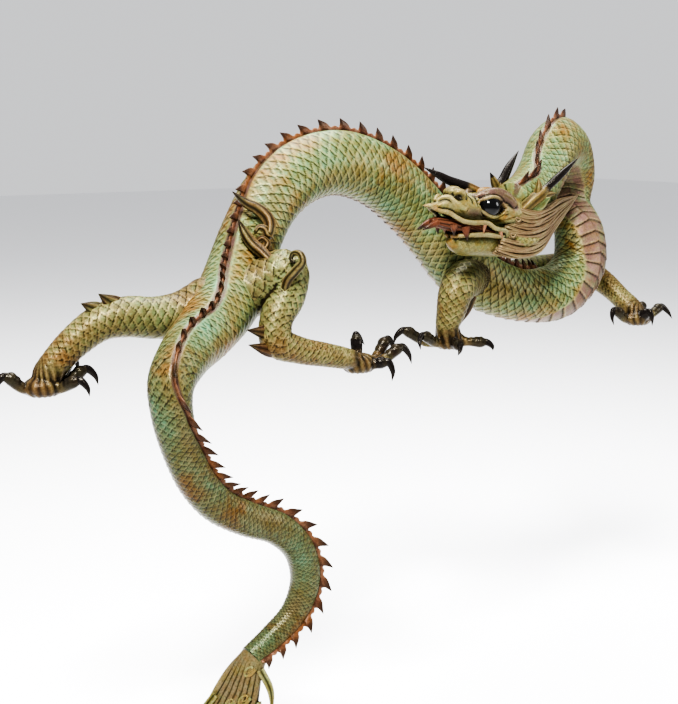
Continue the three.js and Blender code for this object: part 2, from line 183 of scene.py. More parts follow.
class Line:
    """A smooth line through stops, with its half sizes and the way that its back faces."""

    STEPS = 60

    def __init__(self, places: Sequence, sizes: Sequence, backs: Sequence | None = None) -> None:
        """Builds the table of lengths along the line.

        Args:
            places: Stops in millimetres.
            sizes: Half width and half height at each stop.
            backs: The way the back faces at each stop, or None for a line that doesn't twist.
        """
        self.places = np.array(places, float)
        self.sizes = np.array(sizes, float)
        count = len(self.places)
        self.steps = np.linspace(0, count - 1, (count - 1) * self.STEPS + 1)
        dense = curve_points(self.places, self.steps, 0.5)
        gaps = np.linalg.norm(np.diff(dense, axis=0), axis=1)
        self.lengths = np.concatenate([[0.0], np.cumsum(gaps)])
        self.total = float(self.lengths[-1])
        self.tangents = unit(np.gradient(dense, axis=0))
        if backs is None:
            self.backs = self._steady()
        else:
            turned = curve_points(unit(np.array(backs, float)), self.steps, 0.0)
            self.backs = unit(turned - self.tangents * np.sum(turned * self.tangents, 1, keepdims=True))

    def _steady(self) -> Array:
        """Backs that turn as little as they can along the line."""
        first = self.tangents[0]
        back = np.array([0.0, 0.0, 1.0]) if abs(first[2]) < 0.9 else np.array([0.0, 1.0, 0.0])
        backs = []
        for tangent in self.tangents:
            back = back - tangent * float(back @ tangent)
            back = back / np.linalg.norm(back)
            backs.append(back)
        return np.array(backs)

    def length_at(self, stop: int) -> float:
        """The length from the start to a stop, in millimetres."""
        return float(self.lengths[stop * self.STEPS])

    def rings(self, at: Array) -> Rings:
        """Cross-sections at lengths along the line.

        Args:
            at: Lengths from the start, in millimetres.

        Returns:
            The cross-sections.
        """
        steps = np.interp(at, self.lengths, self.steps)
        place = curve_points(self.places, steps, 0.5)

        def blend(table: Array) -> Array:
            return np.stack([np.interp(at, self.lengths, column) for column in table.T], 1)

        along = unit(blend(self.tangents))
        back = blend(self.backs)
        back = unit(back - along * np.sum(back * along, 1, keepdims=True))
        sizes = np.maximum(curve_points(self.sizes, steps, 0.0), 0.0)
        return Rings(place, along, np.cross(along, back), back, sizes[:, 0], sizes[:, 1])


def nearest(line: Line, places: Array) -> Pair:
    """The nearest place on a line.

    Args:
        line: The line.
        places: Points in millimetres, one row each.

    Returns:
        Length along the line, below 0 behind its start, and distance beyond the line's own radius.
    """
    at = np.linspace(0.0, line.total, LINE_SAMPLES)
    rings = line.rings(at)
    squared = (places**2).sum(1)[:, None] - 2 * places @ rings.place.T + (rings.place**2).sum(1)
    best = squared.argmin(1)
    ahead = np.sum((places - rings.place[best]) * rings.along[best], 1)
    gap = np.sqrt(np.maximum(squared[np.arange(len(places)), best], 0.0)) - rings.wide[best]
    return np.minimum(at[best] + ahead, line.total), gap


def masks(like: Array, groove: Shade = 0.0, rim: Shade = 0.0, brown: Shade = 0.0, dark: Shade = 0.0,
          ochre: Shade = 0.0, green: Shade = 0.0) -> Array:
    """Colour masks in columns, one row for each value of like."""
    columns = (groove, rim, brown, dark, ochre, green)
    return np.stack([np.broadcast_to(column, like.shape) for column in columns], 1)


def plain_skin(**shades: float) -> Skin:
    """A smooth skin with the same masks all over."""
    def skin(turn: Array, at: Array, size: Array) -> Pair:
        return np.zeros_like(turn), masks(turn, **shades)
    return skin


def paint(mesh: Mesh, tint: Array) -> None:
    """Writes the colour masks of a mesh.

    Args:
        mesh: The mesh.
        tint: The colour masks of each point.
    """
    for name, first in ((TINT, 0), (WASH, 4)):
        values = np.zeros((len(tint), 4))
        part = tint[:, first:first + 4]
        values[:, :part.shape[1]] = np.clip(part, 0, 1)
        attribute = mesh.attributes.get(name) or mesh.attributes.new(name, "FLOAT_COLOR", "POINT")
        attribute.data.foreach_set("color", values.ravel())


def settled(name: str, shape: bmesh.types.BMesh) -> Mesh:
    """A mesh from an edited shape, which is used up."""
    mesh = bpy.data.meshes.new(name)
    shape.to_mesh(mesh)
    shape.free()
    return mesh


def merged(name: str, meshes: Sequence[Mesh]) -> Mesh:
    """One mesh from several, which are used up."""
    whole = bmesh.new()
    for mesh in meshes:
        whole.from_mesh(mesh)
        bpy.data.meshes.remove(mesh)
    return settled(name, whole)


def placed(name: str, data: bpy.types.ID) -> Piece:
    """An object of the scene."""
    holder = bpy.data.objects.new(name, data)
    bpy.context.scene.collection.objects.link(holder)
    return holder


def principled(name: str, settings: dict) -> tuple[bpy.types.Material, bpy.types.Node]:
    """A material and its Principled shader, with the given settings."""
    material = bpy.data.materials.new(name)
    material.use_nodes = True
    shader = material.node_tree.nodes["Principled BSDF"]
    for socket, value in settings.items():
        shader.inputs[socket].default_value = value
    return material, shader


def mesh_grid(name: str, around: int, along: int) -> tuple[Mesh, Array, Array]:
    """A flat grid made by the grid operator, to be wrapped.

    Args:
        name: Name of the mesh.
        around: Faces across.
        along: Faces along.

    Returns:
        The mesh, and the column and row number of each of its points.
    """
    sheet = bmesh.new()
    bmesh.ops.create_grid(sheet, x_segments=around, y_segments=along, size=1.0)
    mesh = settled(name, sheet)
    flat = np.empty(len(mesh.vertices) * 3)
    mesh.vertices.foreach_get("co", flat)
    flat = flat.reshape(-1, 3)
    columns = np.rint((flat[:, 0] + 1) / 2 * around).astype(int)
    rows = np.rint((flat[:, 1] + 1) / 2 * along).astype(int)
    return mesh, columns, rows


def close_wrap(mesh: Mesh) -> Mesh:
    """Welds a wrapped grid's seam and poles and turns its faces outwards."""
    skin = bmesh.new()
    skin.from_mesh(mesh)
    bmesh.ops.remove_doubles(skin, verts=skin.verts, dist=WELD_GAP)
    flat = [face for face in skin.faces if face.calc_area() < SLIVER_AREA]
    bmesh.ops.delete(skin, geom=flat, context="FACES")
    bmesh.ops.recalc_face_normals(skin, faces=skin.faces)
    skin.to_mesh(mesh)
    skin.free()
    return mesh


def tube(name: str, line: Line, around: int, along: int, skin: Skin,
         span: tuple[float, float] | None = None, rows: Callable | None = None) -> Mesh:
    """A closed tube wrapped round a line.

    Args:
        name: Name of the mesh.
        line: The middle line, in millimetres.
        around: Faces around.
        along: Faces along.
        skin: Gives the relief, as a share of the radius, and the tint, from turn, length and radius.
        span: Lengths that the tube runs between, or None for the whole line.
        rows: Spacing of the rings as a function from even shares to shares, or None for an even one.

    Returns:
        The closed mesh, in metres.
    """
    mesh, columns, ring = mesh_grid(name, around, along)
    low, high = span or (0.0, line.total)
    shares = np.clip((np.arange(along + 1) - 1) / (along - 2), 0.0, 1.0)
    shares = rows(shares) if rows else shares
    at = low + (high - low) * shares
    rings = line.rings(at)
    turn = 2 * math.pi * columns / around
    radius = (rings.wide + rings.high)[ring] / 2
    relief, tint = skin(turn, at[ring], radius)
    open_ring = ((ring > 0) & (ring < along)).astype(float)
    up = rings.high[ring] * np.cos(turn) * (1 + relief) * open_ring
    side = rings.wide[ring] * np.sin(turn) * (1 + relief) * open_ring
    places = rings.place[ring] + rings.back[ring] * up[:, None] + rings.across[ring] * side[:, None]
    mesh.vertices.foreach_set("co", (places * MM).ravel())
    paint(mesh, tint)
    return close_wrap(mesh)


def taper(name: str, points: Sequence, around: int, along: int, skin: Skin | None = None,
          flat: float = 1.0, place: Callable | None = None) -> Mesh:
    """A tube through points that carry their radius last.

    Args:
        name: Name of the mesh.
        points: Rows of x, y, z and radius.
        around: Faces around.
        along: Faces along.
        skin: Relief and tint, or None for a smooth one.
        flat: Half width as a share of half height.
        place: Moves the points into the dragon's own frame, or None.

    Returns:
        The closed mesh.
    """
    rows = np.array(points, float)
    places = place(rows[:, :3]) if place else rows[:, :3]
    sizes = np.stack([rows[:, 3] * flat, rows[:, 3]], 1)
    return tube(name, Line(places, sizes), around, along, skin or plain_skin())


def joined(name: str, meshes: Sequence[Mesh], look: Look) -> Piece:
    """One piece from closed meshes, riding on the body and standing for the casting.

    Args:
        name: Name of the piece.
        meshes: The meshes, which are used up.
        look: Its finish.

    Returns:
        The piece.
    """
    result = merged(name, meshes)
    result.shade_smooth()
    piece = placed(name, result)
    result.materials.append(bpy.data.materials[look.value])
    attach(piece, "root")
    LOG.info("%s: %d faces", name, len(result.polygons))
    return piece


@dataclass(frozen=True)
class ScaleRelief:
    """Overlapping scales: how high they stand, as a share of the radius, and how pointed they are."""

    rise: float = 0.034
    point: float = 1.5
    dome: float = 0.3
    ink: float = 0.4

    def pattern(self, row: Array, column: Array) -> tuple[Array, Array, Array]:
        """The relief of scales whose free edges point to lower rows.

        Args:
            row: Place along, in rows of scales.
            column: Place across, in scales.

        Returns:
            Height from about -0.5 to 1, darkness of the line round each scale, patina in the groove with a
            painted shadow fading out beyond the covering scale's edge, and brightness of its rim, a painted
            highlight that is partly wear.
        """
        near = np.floor(row) + 1
        heights = []
        for step in (0, 1):
            root = near + step
            beyond = root - row
            shift = 0.5 * np.mod(root, 2)
            aside = column - shift - np.rint(column - shift)
            edge = 1 + (1 - np.abs(2 * aside) ** self.point)
            height = beyond / np.maximum(edge, 1e-6) - self.dome * (2 * aside) ** 2
            heights.append((beyond, edge, height))
        over, edge, upper = heights[1]
        lower = heights[0][2]
        on_top = over <= edge
        height = np.where(on_top, upper, lower)
        gap = np.where(on_top, 9.0, over - edge)
        # Patina in the groove, then a painted shadow that fades out beyond the covering scale's edge
        groove = 0.8 * np.exp(-((gap / self.ink) ** 2)) + 0.3 * np.exp(-gap / 0.5)
        # Painted highlight, partly wear, just inside each scale's free edge
        rim = np.where(on_top, np.exp(-(((edge - over - 0.25) / 0.25) ** 2)), 0.0)
        return height, groove, rim


# Stains on the body: spine stop, turn from the back, half length in millimetres, half width, ochre, green
STAINS = [
    (18.1, 1.54, 30, 0.55, 0.9, 0), (17.3, 1.88, 26, 0.45, 0.8, 0), (16.1, 1.61, 22, 0.4, 0.6, 0),
    (19.2, 1.33, 26, 0.4, 0.7, 0), (19.2, 1.95, 34, 0.35, 0, 0.8), (15.5, 0.77, 32, 0.5, 0, 0.7),
    (17.3, 1.19, 40, 0.35, 0, 0.5), (20.4, 1.47, 22, 0.4, 0, 0.7), (21.0, 1.75, 30, 0.6, 0.9, 0),
    (14.4, 0.42, 26, 0.5, 0.8, 0), (13.6, 6.0, 30, 0.5, 0, 0.8), (13.4, 0.49, 26, 0.4, 0.8, 0),
    (12.3, 0.42, 34, 0.5, 0, 0.9), (11.4, 0.07, 24, 0.4, 0.5, 0), (10.9, 6.07, 32, 0.5, 0.9, 0),
    (10.1, 5.1, 34, 0.6, 0, 0.8), (9.3, 5.65, 40, 0.5, 0.7, 0), (8.0, 5.65, 26, 0.5, 0, 0.6),
    (6.7, 5.24, 30, 0.5, 0.7, 0), (5.5, 5.31, 30, 0.5, 0.8, 0), (3.9, 4.89, 36, 0.6, 0, 0.8),
    (2.1, 4.89, 30, 0.6, 0.8, 0), (0.5, 5.03, 30, 0.6, 0, 0.6), (22.2, 1.26, 36, 0.6, 1.0, 0),
    (23.0, 1.33, 36, 0.5, 1.0, 0), (23.7, 1.68, 30, 0.4, 0, 0.8), (24.6, 1.4, 30, 0.4, 0, 0.6),
    (32.2, 5.79, 44, 0.6, 0, 0.6), (31.2, 4.82, 28, 0.5, 0.6, 0), (28.2, 4.05, 30, 0.5, 0, 0.5),
]


@dataclass
class BodySkin:
    """The skin of the long body: crest band, bead line, scales, belly plates and painted shade on the
    hanging tail.
    """

    line: Line
    pitch: float = 0.155
    columns: float = 5.0
    crest_edge: float = 0.17
    belly_narrow: float = 0.5
    belly_wide: float = 0.78
    # Spine stops over which the painted shade on the hanging tail fades out
    hanging: tuple = (9, 13)
    scales: ScaleRelief = field(default_factory=ScaleRelief)

    def __post_init__(self) -> None:
        """Counts the rows of scales along the line."""
        at = self.line.lengths
        radius = self.line.rings(at).wide
        self.rows_at = np.concatenate([[0.0], np.cumsum(np.diff(at) / (self.pitch * radius[1:]))])

    def row(self, at: Array) -> Array:
        """Rows of scales from the start to lengths along the line."""
        return np.interp(at, self.line.lengths, self.rows_at)

    def spread(self, low: float, high: float) -> Callable[[Array], Array]:
        """Spaces rings evenly by rows of scales between two lengths."""
        first, last = self.row(np.array([low, high]))
        def rows(shares: Array) -> Array:
            at = np.interp(first + (last - first) * shares, self.rows_at, self.line.lengths)
            return (at - low) / (high - low)
        return rows

    def stains(self, turn: Array, at: Array) -> Pair:
        """How ochre and how green the skin is at each turn and length."""
        ochre, green = np.zeros_like(turn), np.zeros_like(turn)
        for stop, centre, long, wide, brown, pale in STAINS:
            middle = np.interp(stop, self.line.steps, self.line.lengths)
            round_by = np.mod(turn - centre + math.pi, 2 * math.pi) - math.pi
            spot = bump(0.0, 1.0, np.hypot((at - middle) / long, round_by / wide))
            ochre, green = ochre + brown * spot, green + pale * spot
        return ochre, green

    def __call__(self, turn: Array, at: Array, size: Array) -> Pair:
        """Relief and tint of the skin, for a turn from the back."""
        aside = np.abs(np.where(turn > math.pi, turn - 2 * math.pi, turn))
        row = self.row(at)
        cosine = np.cos(aside)
        widens = smoothstep(self.line.length_at(23), self.line.length_at(25), at)
        belly_half = self.belly_narrow + (self.belly_wide - self.belly_narrow) * widens
        outline = np.where(cosine > 0, RIDGE * np.abs(cosine) ** 8, -BELLY_FLAT * cosine**2)
        flank = math.pi - belly_half - self.crest_edge
        column = (aside - self.crest_edge) / flank * self.columns
        height, groove, rim = self.scales.pattern(row, column)
        scaled = smoothstep(self.crest_edge, self.crest_edge + 0.1, aside)
        scaled = scaled * (1 - smoothstep(0.0, 0.06, aside - (math.pi - belly_half - 0.06)))
        across = (math.pi - aside) / belly_half
        belly = 1 - smoothstep(0.92, 1.02, across)
        plate = np.mod(row * 0.42 + 0.45 * across, 1.0)
        plates = 0.05 * (1 - plate) + 0.02 * bump(0, 0.16, across)
        plate_line = np.maximum(bump(1.0, 0.17, plate), 0.5 * bump(0.0, 0.05, across))
        beads = bump(1.0, 0.06, across) + belly * bump(0.1, 0.08, plate)
        border = bump(self.crest_edge, 0.035, aside) + bump(1.0, 0.06, across)
        crest = 1 - smoothstep(self.crest_edge - 0.05, self.crest_edge, aside)
        relief = outline + scaled * self.scales.rise * height + belly * plates + 0.03 * border
        # Painted shade on the hanging tail: darker and more ochre up to stop 9, fading out by stop 13
        below = 1 - smoothstep(*(self.line.length_at(stop) for stop in self.hanging), at)
        ochre, green = self.stains(turn, at)
        return relief, masks(
            turn, groove=scaled * groove + belly * plate_line, rim=0.4 * scaled * rim + 0.45 * beads,
            brown=crest + belly, dark=np.maximum(0.5 * below, 0.55 * crest),
            ochre=ochre + 0.3 * below, green=green)


@dataclass
class Body:
    """The long body in three stretches, and the crest along its back."""

    around: int = 108
    rings_per_row: dict = field(default_factory=lambda: {Zone.TAIL: 3.2, Zone.TRUNK: 5.0, Zone.NECK: 4.6})
    spike_pitch: float = 25.0
    spike_height: float = 18.0
    spike_base: float = 0.54
    spike_lean: float = 0.55
    rim_height: float = 3.4
    frill: float = 2.2
    sunk: float = 5.0
    rings_per_spike: int = 24

    def __post_init__(self) -> None:
        """Lays out the middle line and its skin."""
        places, radii, backs = zip(*((row[:3], (row[3], row[3]), row[4]) for row in SPINE))
        self.line = Line(places, radii, backs)
        self.skin = BodySkin(self.line)

    def stretch(self, zone: Zone) -> Piece:
        """One stretch of the skin."""
        low, high = (self.line.length_at(stop) for stop in zone.value)
        first, last = self.skin.row(np.array([low, high]))
        along = int((last - first) * self.rings_per_row[zone])
        mesh = tube(f"body_{zone.name.lower()}", self.line, self.around, along, self.skin,
                    span=(low, high), rows=self.skin.spread(low, high))
        return joined(f"body_{zone.name.lower()}", [mesh], Look.PATINA)

    def crest(self) -> Piece:
        """The frilled rim along the back, rising to a blunt spike that leans to the tail at each pitch."""
        count = int(self.line.total // self.spike_pitch)
        around, along = 16, count * self.rings_per_spike
        mesh, columns, ring = mesh_grid("crest", around, along)
        at = np.linspace(2.0, self.line.total - 2.0, along + 1)
        rings = self.line.rings(at)
        phase = np.mod(at * count / self.line.total, 1.0)[ring] - 0.5
        half = self.spike_base / 2
        ahead = np.clip(1 - (phase + 0.1) / (half + 0.06), 0, 1) ** 0.7
        behind = np.clip(1 + (phase + 0.1) / (half - 0.06), 0, 1) ** 1.5
        spike = np.where(phase > -0.1, ahead, behind)
        frill = np.abs(np.sin(3 * math.pi * phase)) * self.frill
        height = self.rim_height + frill * (1 - spike) + (self.spike_height - self.rim_height) * spike
        turn = 2 * math.pi * columns / around
        lift = (1 - np.cos(turn)) / 2
        thick = (4.6 - 3.2 * lift) * np.sin(turn) * (0.75 + 0.45 * spike)
        ends = ((ring > 0) & (ring < along)).astype(float)
        base = rings.wide[ring] * (1 + RIDGE) - self.sunk
        up = base + (self.sunk + height) * lift * ends
        lean = -self.spike_lean * height * lift**1.5 * spike
        places = (rings.place[ring] + rings.back[ring] * up[:, None]
                  + rings.across[ring] * (thick * ends)[:, None] + rings.along[ring] * lean[:, None])
        mesh.vertices.foreach_set("co", (places * MM).ravel())
        paint(mesh, masks(
            lift, groove=0.7 * bump(0.3, 0.12, lift), rim=smoothstep(0.75, 1.0, lift) * (1 - spike) * 0.7,
            dark=smoothstep(4.0, 13.0, height * lift) * 0.9))
        return joined("crest", [close_wrap(mesh)], Look.BROWN)

    def build(self) -> list[Piece]:
        """All stretches and the crest."""
        return [*(self.stretch(zone) for zone in Zone), self.crest()]


@dataclass
class Leg:
    """A leg with its palm, toes, hooked claws and spurs. Points are in millimetres."""

    name: str
    line: list
    palm: tuple
    toes: list
    spurs: list
    columns: int = 9
    pitch: float = 0.42
    toe_radius: float = 9.0
    claw_radius: float = 5.4
    shadow: float = 0.9
    shadow_span: tuple = (0.12, 0.34)
    foot_reach: tuple = (26.0, 44.0)
    sole_reach: float = 45.0
    toe_rings: int = 7
    creases: int = 13
    palm_radii: tuple = (28.0, 23.0, 16.0)
    palm_height: float = 12.0
    spur_radii: tuple = (15.0, 11.0, 0.3)
    voxel: float = 2.0
    scales: ScaleRelief = field(default_factory=lambda: ScaleRelief(rise=1.1, point=1.6, ink=0.28))

    def __post_init__(self) -> None:
        """Lays out the lines of the limb and the toes."""
        rows = np.array(self.line, float)
        self.limb = Line(rows[:, :3], np.stack([rows[:, 3], rows[:, 3]], 1))
        radius = self.limb.rings(self.limb.lengths).wide
        steps = np.diff(self.limb.lengths) / (self.pitch * np.maximum(radius[1:], 14.0))
        self.rows_at = np.concatenate([[0.0], np.cumsum(steps)])
        self.toe_lines = [self._toe_line(*(np.array(point, float) for point in toe)) for toe in self.toes]

    @property
    def palm_place(self) -> Array:
        """The middle of the palm."""
        return np.array([self.palm[0], self.palm[1], self.palm_height])

    def _toe_line(self, bend: Array, tip: Array) -> Line:
        """The middle of a toe from the palm over its knuckle to the root of its claw."""
        root = self.palm_place
        out = unit(bend - root)
        sole = root + (bend - root) * 0.55
        sole[2] = min(sole[2], root[2])
        sizes = [(self.toe_radius * size,) * 2 for size in (1.15, 0.84, 1.04, 0.62)]
        return Line([root, sole, bend - out * 4, bend + out * 5], sizes)

    def pad(self) -> Mesh:
        """The palm as an ellipsoid; building the leg flattens it below."""
        return ball(f"{self.name}_palm", self.palm_place, self.palm_radii, np.eye(3))

    def relief(self, places: Array, normals: Array) -> Pair:
        """Scales on the limb, folds on the palm and ridges on the toes."""
        near, gap = nearest(self.limb, places)
        rings = self.limb.rings(near)
        out = places - rings.place
        turn = np.arctan2(np.sum(out * rings.across, 1), np.sum(out * rings.back, 1))
        behind = np.minimum(near, 0) / (self.pitch * self.line[0][3])
        row = -np.interp(near, self.limb.lengths, self.rows_at) - behind
        tall, groove, rim = self.scales.pattern(row, turn / (2 * math.pi) * self.columns)
        from_palm = places - self.palm_place
        foot = 1 - smoothstep(*self.foot_reach, np.linalg.norm(from_palm, axis=1))
        dark, ridge, fold = np.zeros(len(places)), np.zeros(len(places)), np.zeros(len(places))
        for line in self.toe_lines:
            along, beyond = nearest(line, places)
            share = along / line.total
            mine = (1 - smoothstep(1.0, 5.0, beyond)) * smoothstep(0.3, 0.5, share)
            wave = np.cos(share * self.toe_rings * 2 * math.pi)
            top = smoothstep(-0.3, 0.5, normals[:, 2])
            ridge = np.where(mine > 0, mine * top * wave, ridge)
            fold = np.maximum(fold, mine * top * bump(-1, 0.6, wave))
            dark = np.maximum(dark, mine * smoothstep(0.35, 0.75, share))
        angle = np.arctan2(from_palm[:, 1], from_palm[:, 0])
        crease = np.cos(self.creases * angle + 0.12 * from_palm[:, 2])
        open_skin = np.clip(foot - dark, 0, 1)
        scaled = 1 - np.clip(foot + dark, 0, 1)
        shade = self.shadow * (1 - smoothstep(*self.shadow_span, near / self.limb.total))
        height = scaled * self.scales.rise * tall + 0.45 * ridge + 0.5 * open_skin * crease
        return height, masks(
            near,
            groove=scaled * groove + 0.7 * fold + 0.7 * open_skin * bump(-1, 0.6, crease),
            rim=0.4 * scaled * rim + 0.25 * open_skin * bump(1, 0.3, crease),
            brown=0.6 * foot + 0.8 * shade,
            dark=0.9 * dark + 0.25 * foot + 0.5 * shade,
            ochre=0.5 + 0.5 * foot,
            green=0.5 * bump(0.3, 0.2, near / self.limb.total))

    def claw(self, index: int) -> Mesh:
        """The hooked claw of a toe."""
        bend, tip = (np.array(point, float) for point in self.toes[index])
        out = unit(bend - self.palm_place)
        size = self.claw_radius
        hook = bend + (tip - bend) * 0.5 + out * size * 1.25
        sizes = [(size * wide, size * high) for wide, high in ((0.95, 1.2), (0.9, 1.1), (0.6, 0.7))]
        line = Line([bend - out * 2, bend + out * size * 1.1, hook, tip], [*sizes, (0.3, 0.3)])
        return tube(f"{self.name}_claw_{index}", line, 18, 30, plain_skin(dark=1.0))

    def spur(self, points: Sequence) -> Mesh:
        """A flat flame-like spur with grooves down each side."""
        rows = [(*point, radius) for point, radius in zip(points, self.spur_radii)]

        def skin(turn: Array, at: Array, size: Array) -> Pair:
            wave = np.cos(turn * 6)
            dark = smoothstep(0.55, 1.0, at / at.max()) * 0.7
            return 0.06 * wave, masks(turn, bump(-1, 0.5, wave), 0.3 * bump(1, 0.3, wave), 0.9, dark)

        return taper(f"{self.name}_spur", rows, 36, 30, skin, flat=0.5)

    def build(self) -> Piece:
        """The whole leg as one piece."""
        plain = plain_skin()
        root = ball(f"{self.name}_root", self.limb.places[0], (self.line[0][3],) * 3, np.eye(3))
        parts = [tube(f"{self.name}_limb", self.limb, 48, 90, plain), root, self.pad()]
        parts += [tube(f"{self.name}_toe", line, 20, 30, plain) for line in self.toe_lines]
        skin = melted(f"{self.name}_skin", parts, self.voxel)
        places = np.empty(len(skin.vertices) * 3)
        skin.vertices.foreach_get("co", places)
        places = places.reshape(-1, 3)
        sole = np.hypot(*(places[:, axis] / MM - self.palm[axis] for axis in (0, 1))) < self.sole_reach
        places[:, 2] = np.where(sole, np.maximum(places[:, 2], 0.0), places[:, 2])
        skin.vertices.foreach_set("co", places.ravel())
        meshes = [carve(skin, self.relief), *(self.claw(index) for index in range(len(self.toes)))]
        meshes += [self.spur(points) for points in self.spurs]
        return joined(f"leg_{self.name}", meshes, Look.LIMB)


# The legs, in millimetres: middle line with its radii, palm, toes (knuckle and claw tip) and spurs
LEGS = [
    Leg(
        "fore_right",
        line=[
            (86, 45, 108, 34), (33, 10, 107, 31), (4, -6, 90, 27), (-6, -8, 61, 23), (-10, -5, 37, 19),
            (-4, -1, 18, 21), (0, 0, 8, 14),
        ],
        palm=(0, 0),
        toes=[
            ((-72, 25, 31), (-92, 30, 12)), ((-58, -6, 26), (-76, -20, 8)), ((-16, -42, 12), (-34, -62, 1)),
            ((40, -36, 11), (40, -60, 1)),
        ],
        spurs=[
            ((40, -2, 84), (28, -4, 60), (14, -2, 34)),
        ],
        columns=10, pitch=0.2,
    ),
    Leg(
        "fore_left",
        line=[
            (150, 82, 86, 34), (230, 100, 88, 33), (306, 105, 94, 31), (388, 98, 96, 25), (412, 65, 74, 21),
            (424, 30, 47, 18), (432, 2, 22, 20), (434, -6, 10, 12),
        ],
        palm=(434, -6),
        toes=[
            ((505, 5, 24), (523, -10, 3)), ((430, -32, 25), (431, -44, 3)), ((383, 0, 28), (373, -6, 4)),
            ((498, 42, 24), (516, 50, 3)),
        ],
        spurs=[
            ((362, 96, 110), (352, 118, 112), (330, 142, 104)),
        ],
        columns=10, pitch=0.2,
    ),
    Leg(
        "hind_right",
        line=[
            (-397, 0, 117, 42), (-366, -22, 134, 36), (-338, -42, 152, 32), (-345, -54, 120, 27),
            (-369, -66, 89, 23), (-372, -72, 60, 23), (-339, -76, 44, 19), (-296, -79, 33, 17),
            (-254, -80, 22, 15), (-236, -77, 15, 13),
        ],
        palm=(-232, -74),
        toes=[
            ((-223, -52, 46), (-206, -50, 34)), ((-166, -50, 36), (-150, -53, 14)),
            ((-160, -76, 28), (-141, -82, 3)), ((-205, -100, 15), (-198, -110, -12)),
        ],
        spurs=[
            ((-360, -66, 74), (-388, -72, 74), (-424, -78, 81)),
            ((-360, -70, 52), (-386, -76, 50), (-424, -82, 61)),
        ],
        columns=9, pitch=0.22, shadow=0.1,
    ),
    Leg(
        "hind_left",
        line=[
            (-440, 4, 109, 38), (-478, 10, 97, 32), (-517, 16, 94, 29), (-555, 22, 98, 28),
            (-591, 28, 93, 25), (-628, 32, 70, 22), (-655, 34, 45, 20), (-671, 34, 24, 20),
            (-676, 33, 10, 12),
        ],
        palm=(-676, 32),
        toes=[
            ((-724, 35, 29), (-742, 34, 8)), ((-622, 26, 29), (-603, 20, 8)),
            ((-644, -4, 22), (-632, -20, 3)), ((-630, 54, 39), (-617, 56, 22)),
        ],
        spurs=[
            ((-562, 22, 108), (-580, 20, 120), (-599, 18, 134)),
            ((-586, 28, 98), (-602, 26, 112), (-622, 24, 122)),
        ],
        columns=8, pitch=0.24, shadow=0.1,
    ),
]


@dataclass
class HeadFrame:
    """The head's own axes at the nape: forwards, to its left, and up."""

    origin: Array = field(default_factory=lambda: np.array([86.0, -36.0, 225.0]))
    forward: Array = field(default_factory=lambda: np.array([-0.987, -0.013, 0.158]))
    up: Array = field(default_factory=lambda: np.array([0.158, -0.015, 0.987]))

    @property
    def axes(self) -> Array:
        """Rows: forwards, aside, up."""
        return np.stack([self.forward, np.cross(self.up, self.forward), self.up])

    def out(self, points: Array) -> Array:
        """Points of the head's own frame, in the dragon's."""
        return self.origin + np.atleast_2d(np.array(points, float)) @ self.axes

    def into(self, points: Array) -> Array:
        """The dragon's points, in the head's own frame."""
        return (points - self.origin) @ np.linalg.inv(self.axes)


def both_sides(points: Sequence) -> list[list]:
    """The same points on the head's left and right."""
    return [[(f, aside * side, *rest) for f, aside, *rest in points] for side in (1, -1)]


def ball(name: str, centre: Array, radii: Sequence[float], axes: Array) -> Mesh:
    """An ellipsoid along given axes, in millimetres."""
    sphere = bmesh.new()
    bmesh.ops.create_uvsphere(sphere, u_segments=40, v_segments=24, radius=1.0)
    turn = Matrix((np.array(axes).T).tolist()).to_4x4()
    size = Matrix.Diagonal(Vector([radius * MM for radius in radii]).to_4d())
    size[3][3] = 1
    place = Matrix.Translation(Vector((np.array(centre) * MM).tolist()))
    bmesh.ops.transform(sphere, matrix=place @ turn @ size, verts=sphere.verts)
    return settled(name, sphere)


def melted(name: str, meshes: Sequence[Mesh], voxel: float) -> Mesh:
    """One even skin over several closed meshes.

    Args:
        name: Name of the mesh.
        meshes: The meshes, which are used up.
        voxel: Size of the skin's faces, in millimetres.

    Returns:
        The skin.
    """
    raw = merged(name, meshes)
    holder = placed(name, raw)
    remesh = holder.modifiers.new("skin", "REMESH")
    remesh.mode = "VOXEL"
    remesh.voxel_size = voxel * MM
    soften = holder.modifiers.new("soften", "SMOOTH")
    soften.factor = 0.5
    soften.iterations = MELT_PASSES
    graph = bpy.context.evaluated_depsgraph_get()
    skin = bpy.data.meshes.new_from_object(holder.evaluated_get(graph))
    skin.name = name
    bpy.data.objects.remove(holder)
    bpy.data.meshes.remove(raw)
    return skin


def surface(mesh: Mesh) -> Pair:
    """Points in millimetres and normals of a mesh, one row each."""
    mesh.update()
    places, normals = np.empty(len(mesh.vertices) * 3), np.empty(len(mesh.vertices) * 3)
    mesh.vertices.foreach_get("co", places)
    mesh.vertex_normals.foreach_get("vector", normals)
    return places.reshape(-1, 3) / MM, normals.reshape(-1, 3)


def hollows(mesh: Mesh) -> Array:
    """How far each point lies below its smoothed surroundings, in millimetres."""
    places, normals = surface(mesh)
    count = len(places)
    ends = np.empty(len(mesh.edges) * 2, int)
    mesh.edges.foreach_get("vertices", ends)
    first, second = ends.reshape(-1, 2).T
    degree = np.bincount(ends, minlength=count)
    soft = places.copy()
    for _ in range(HOLLOW_PASSES):
        soft = np.stack([(np.bincount(first, column[second], count)
                          + np.bincount(second, column[first], count)) / degree for column in soft.T], 1)
    return np.sum((soft - places) * normals, 1)


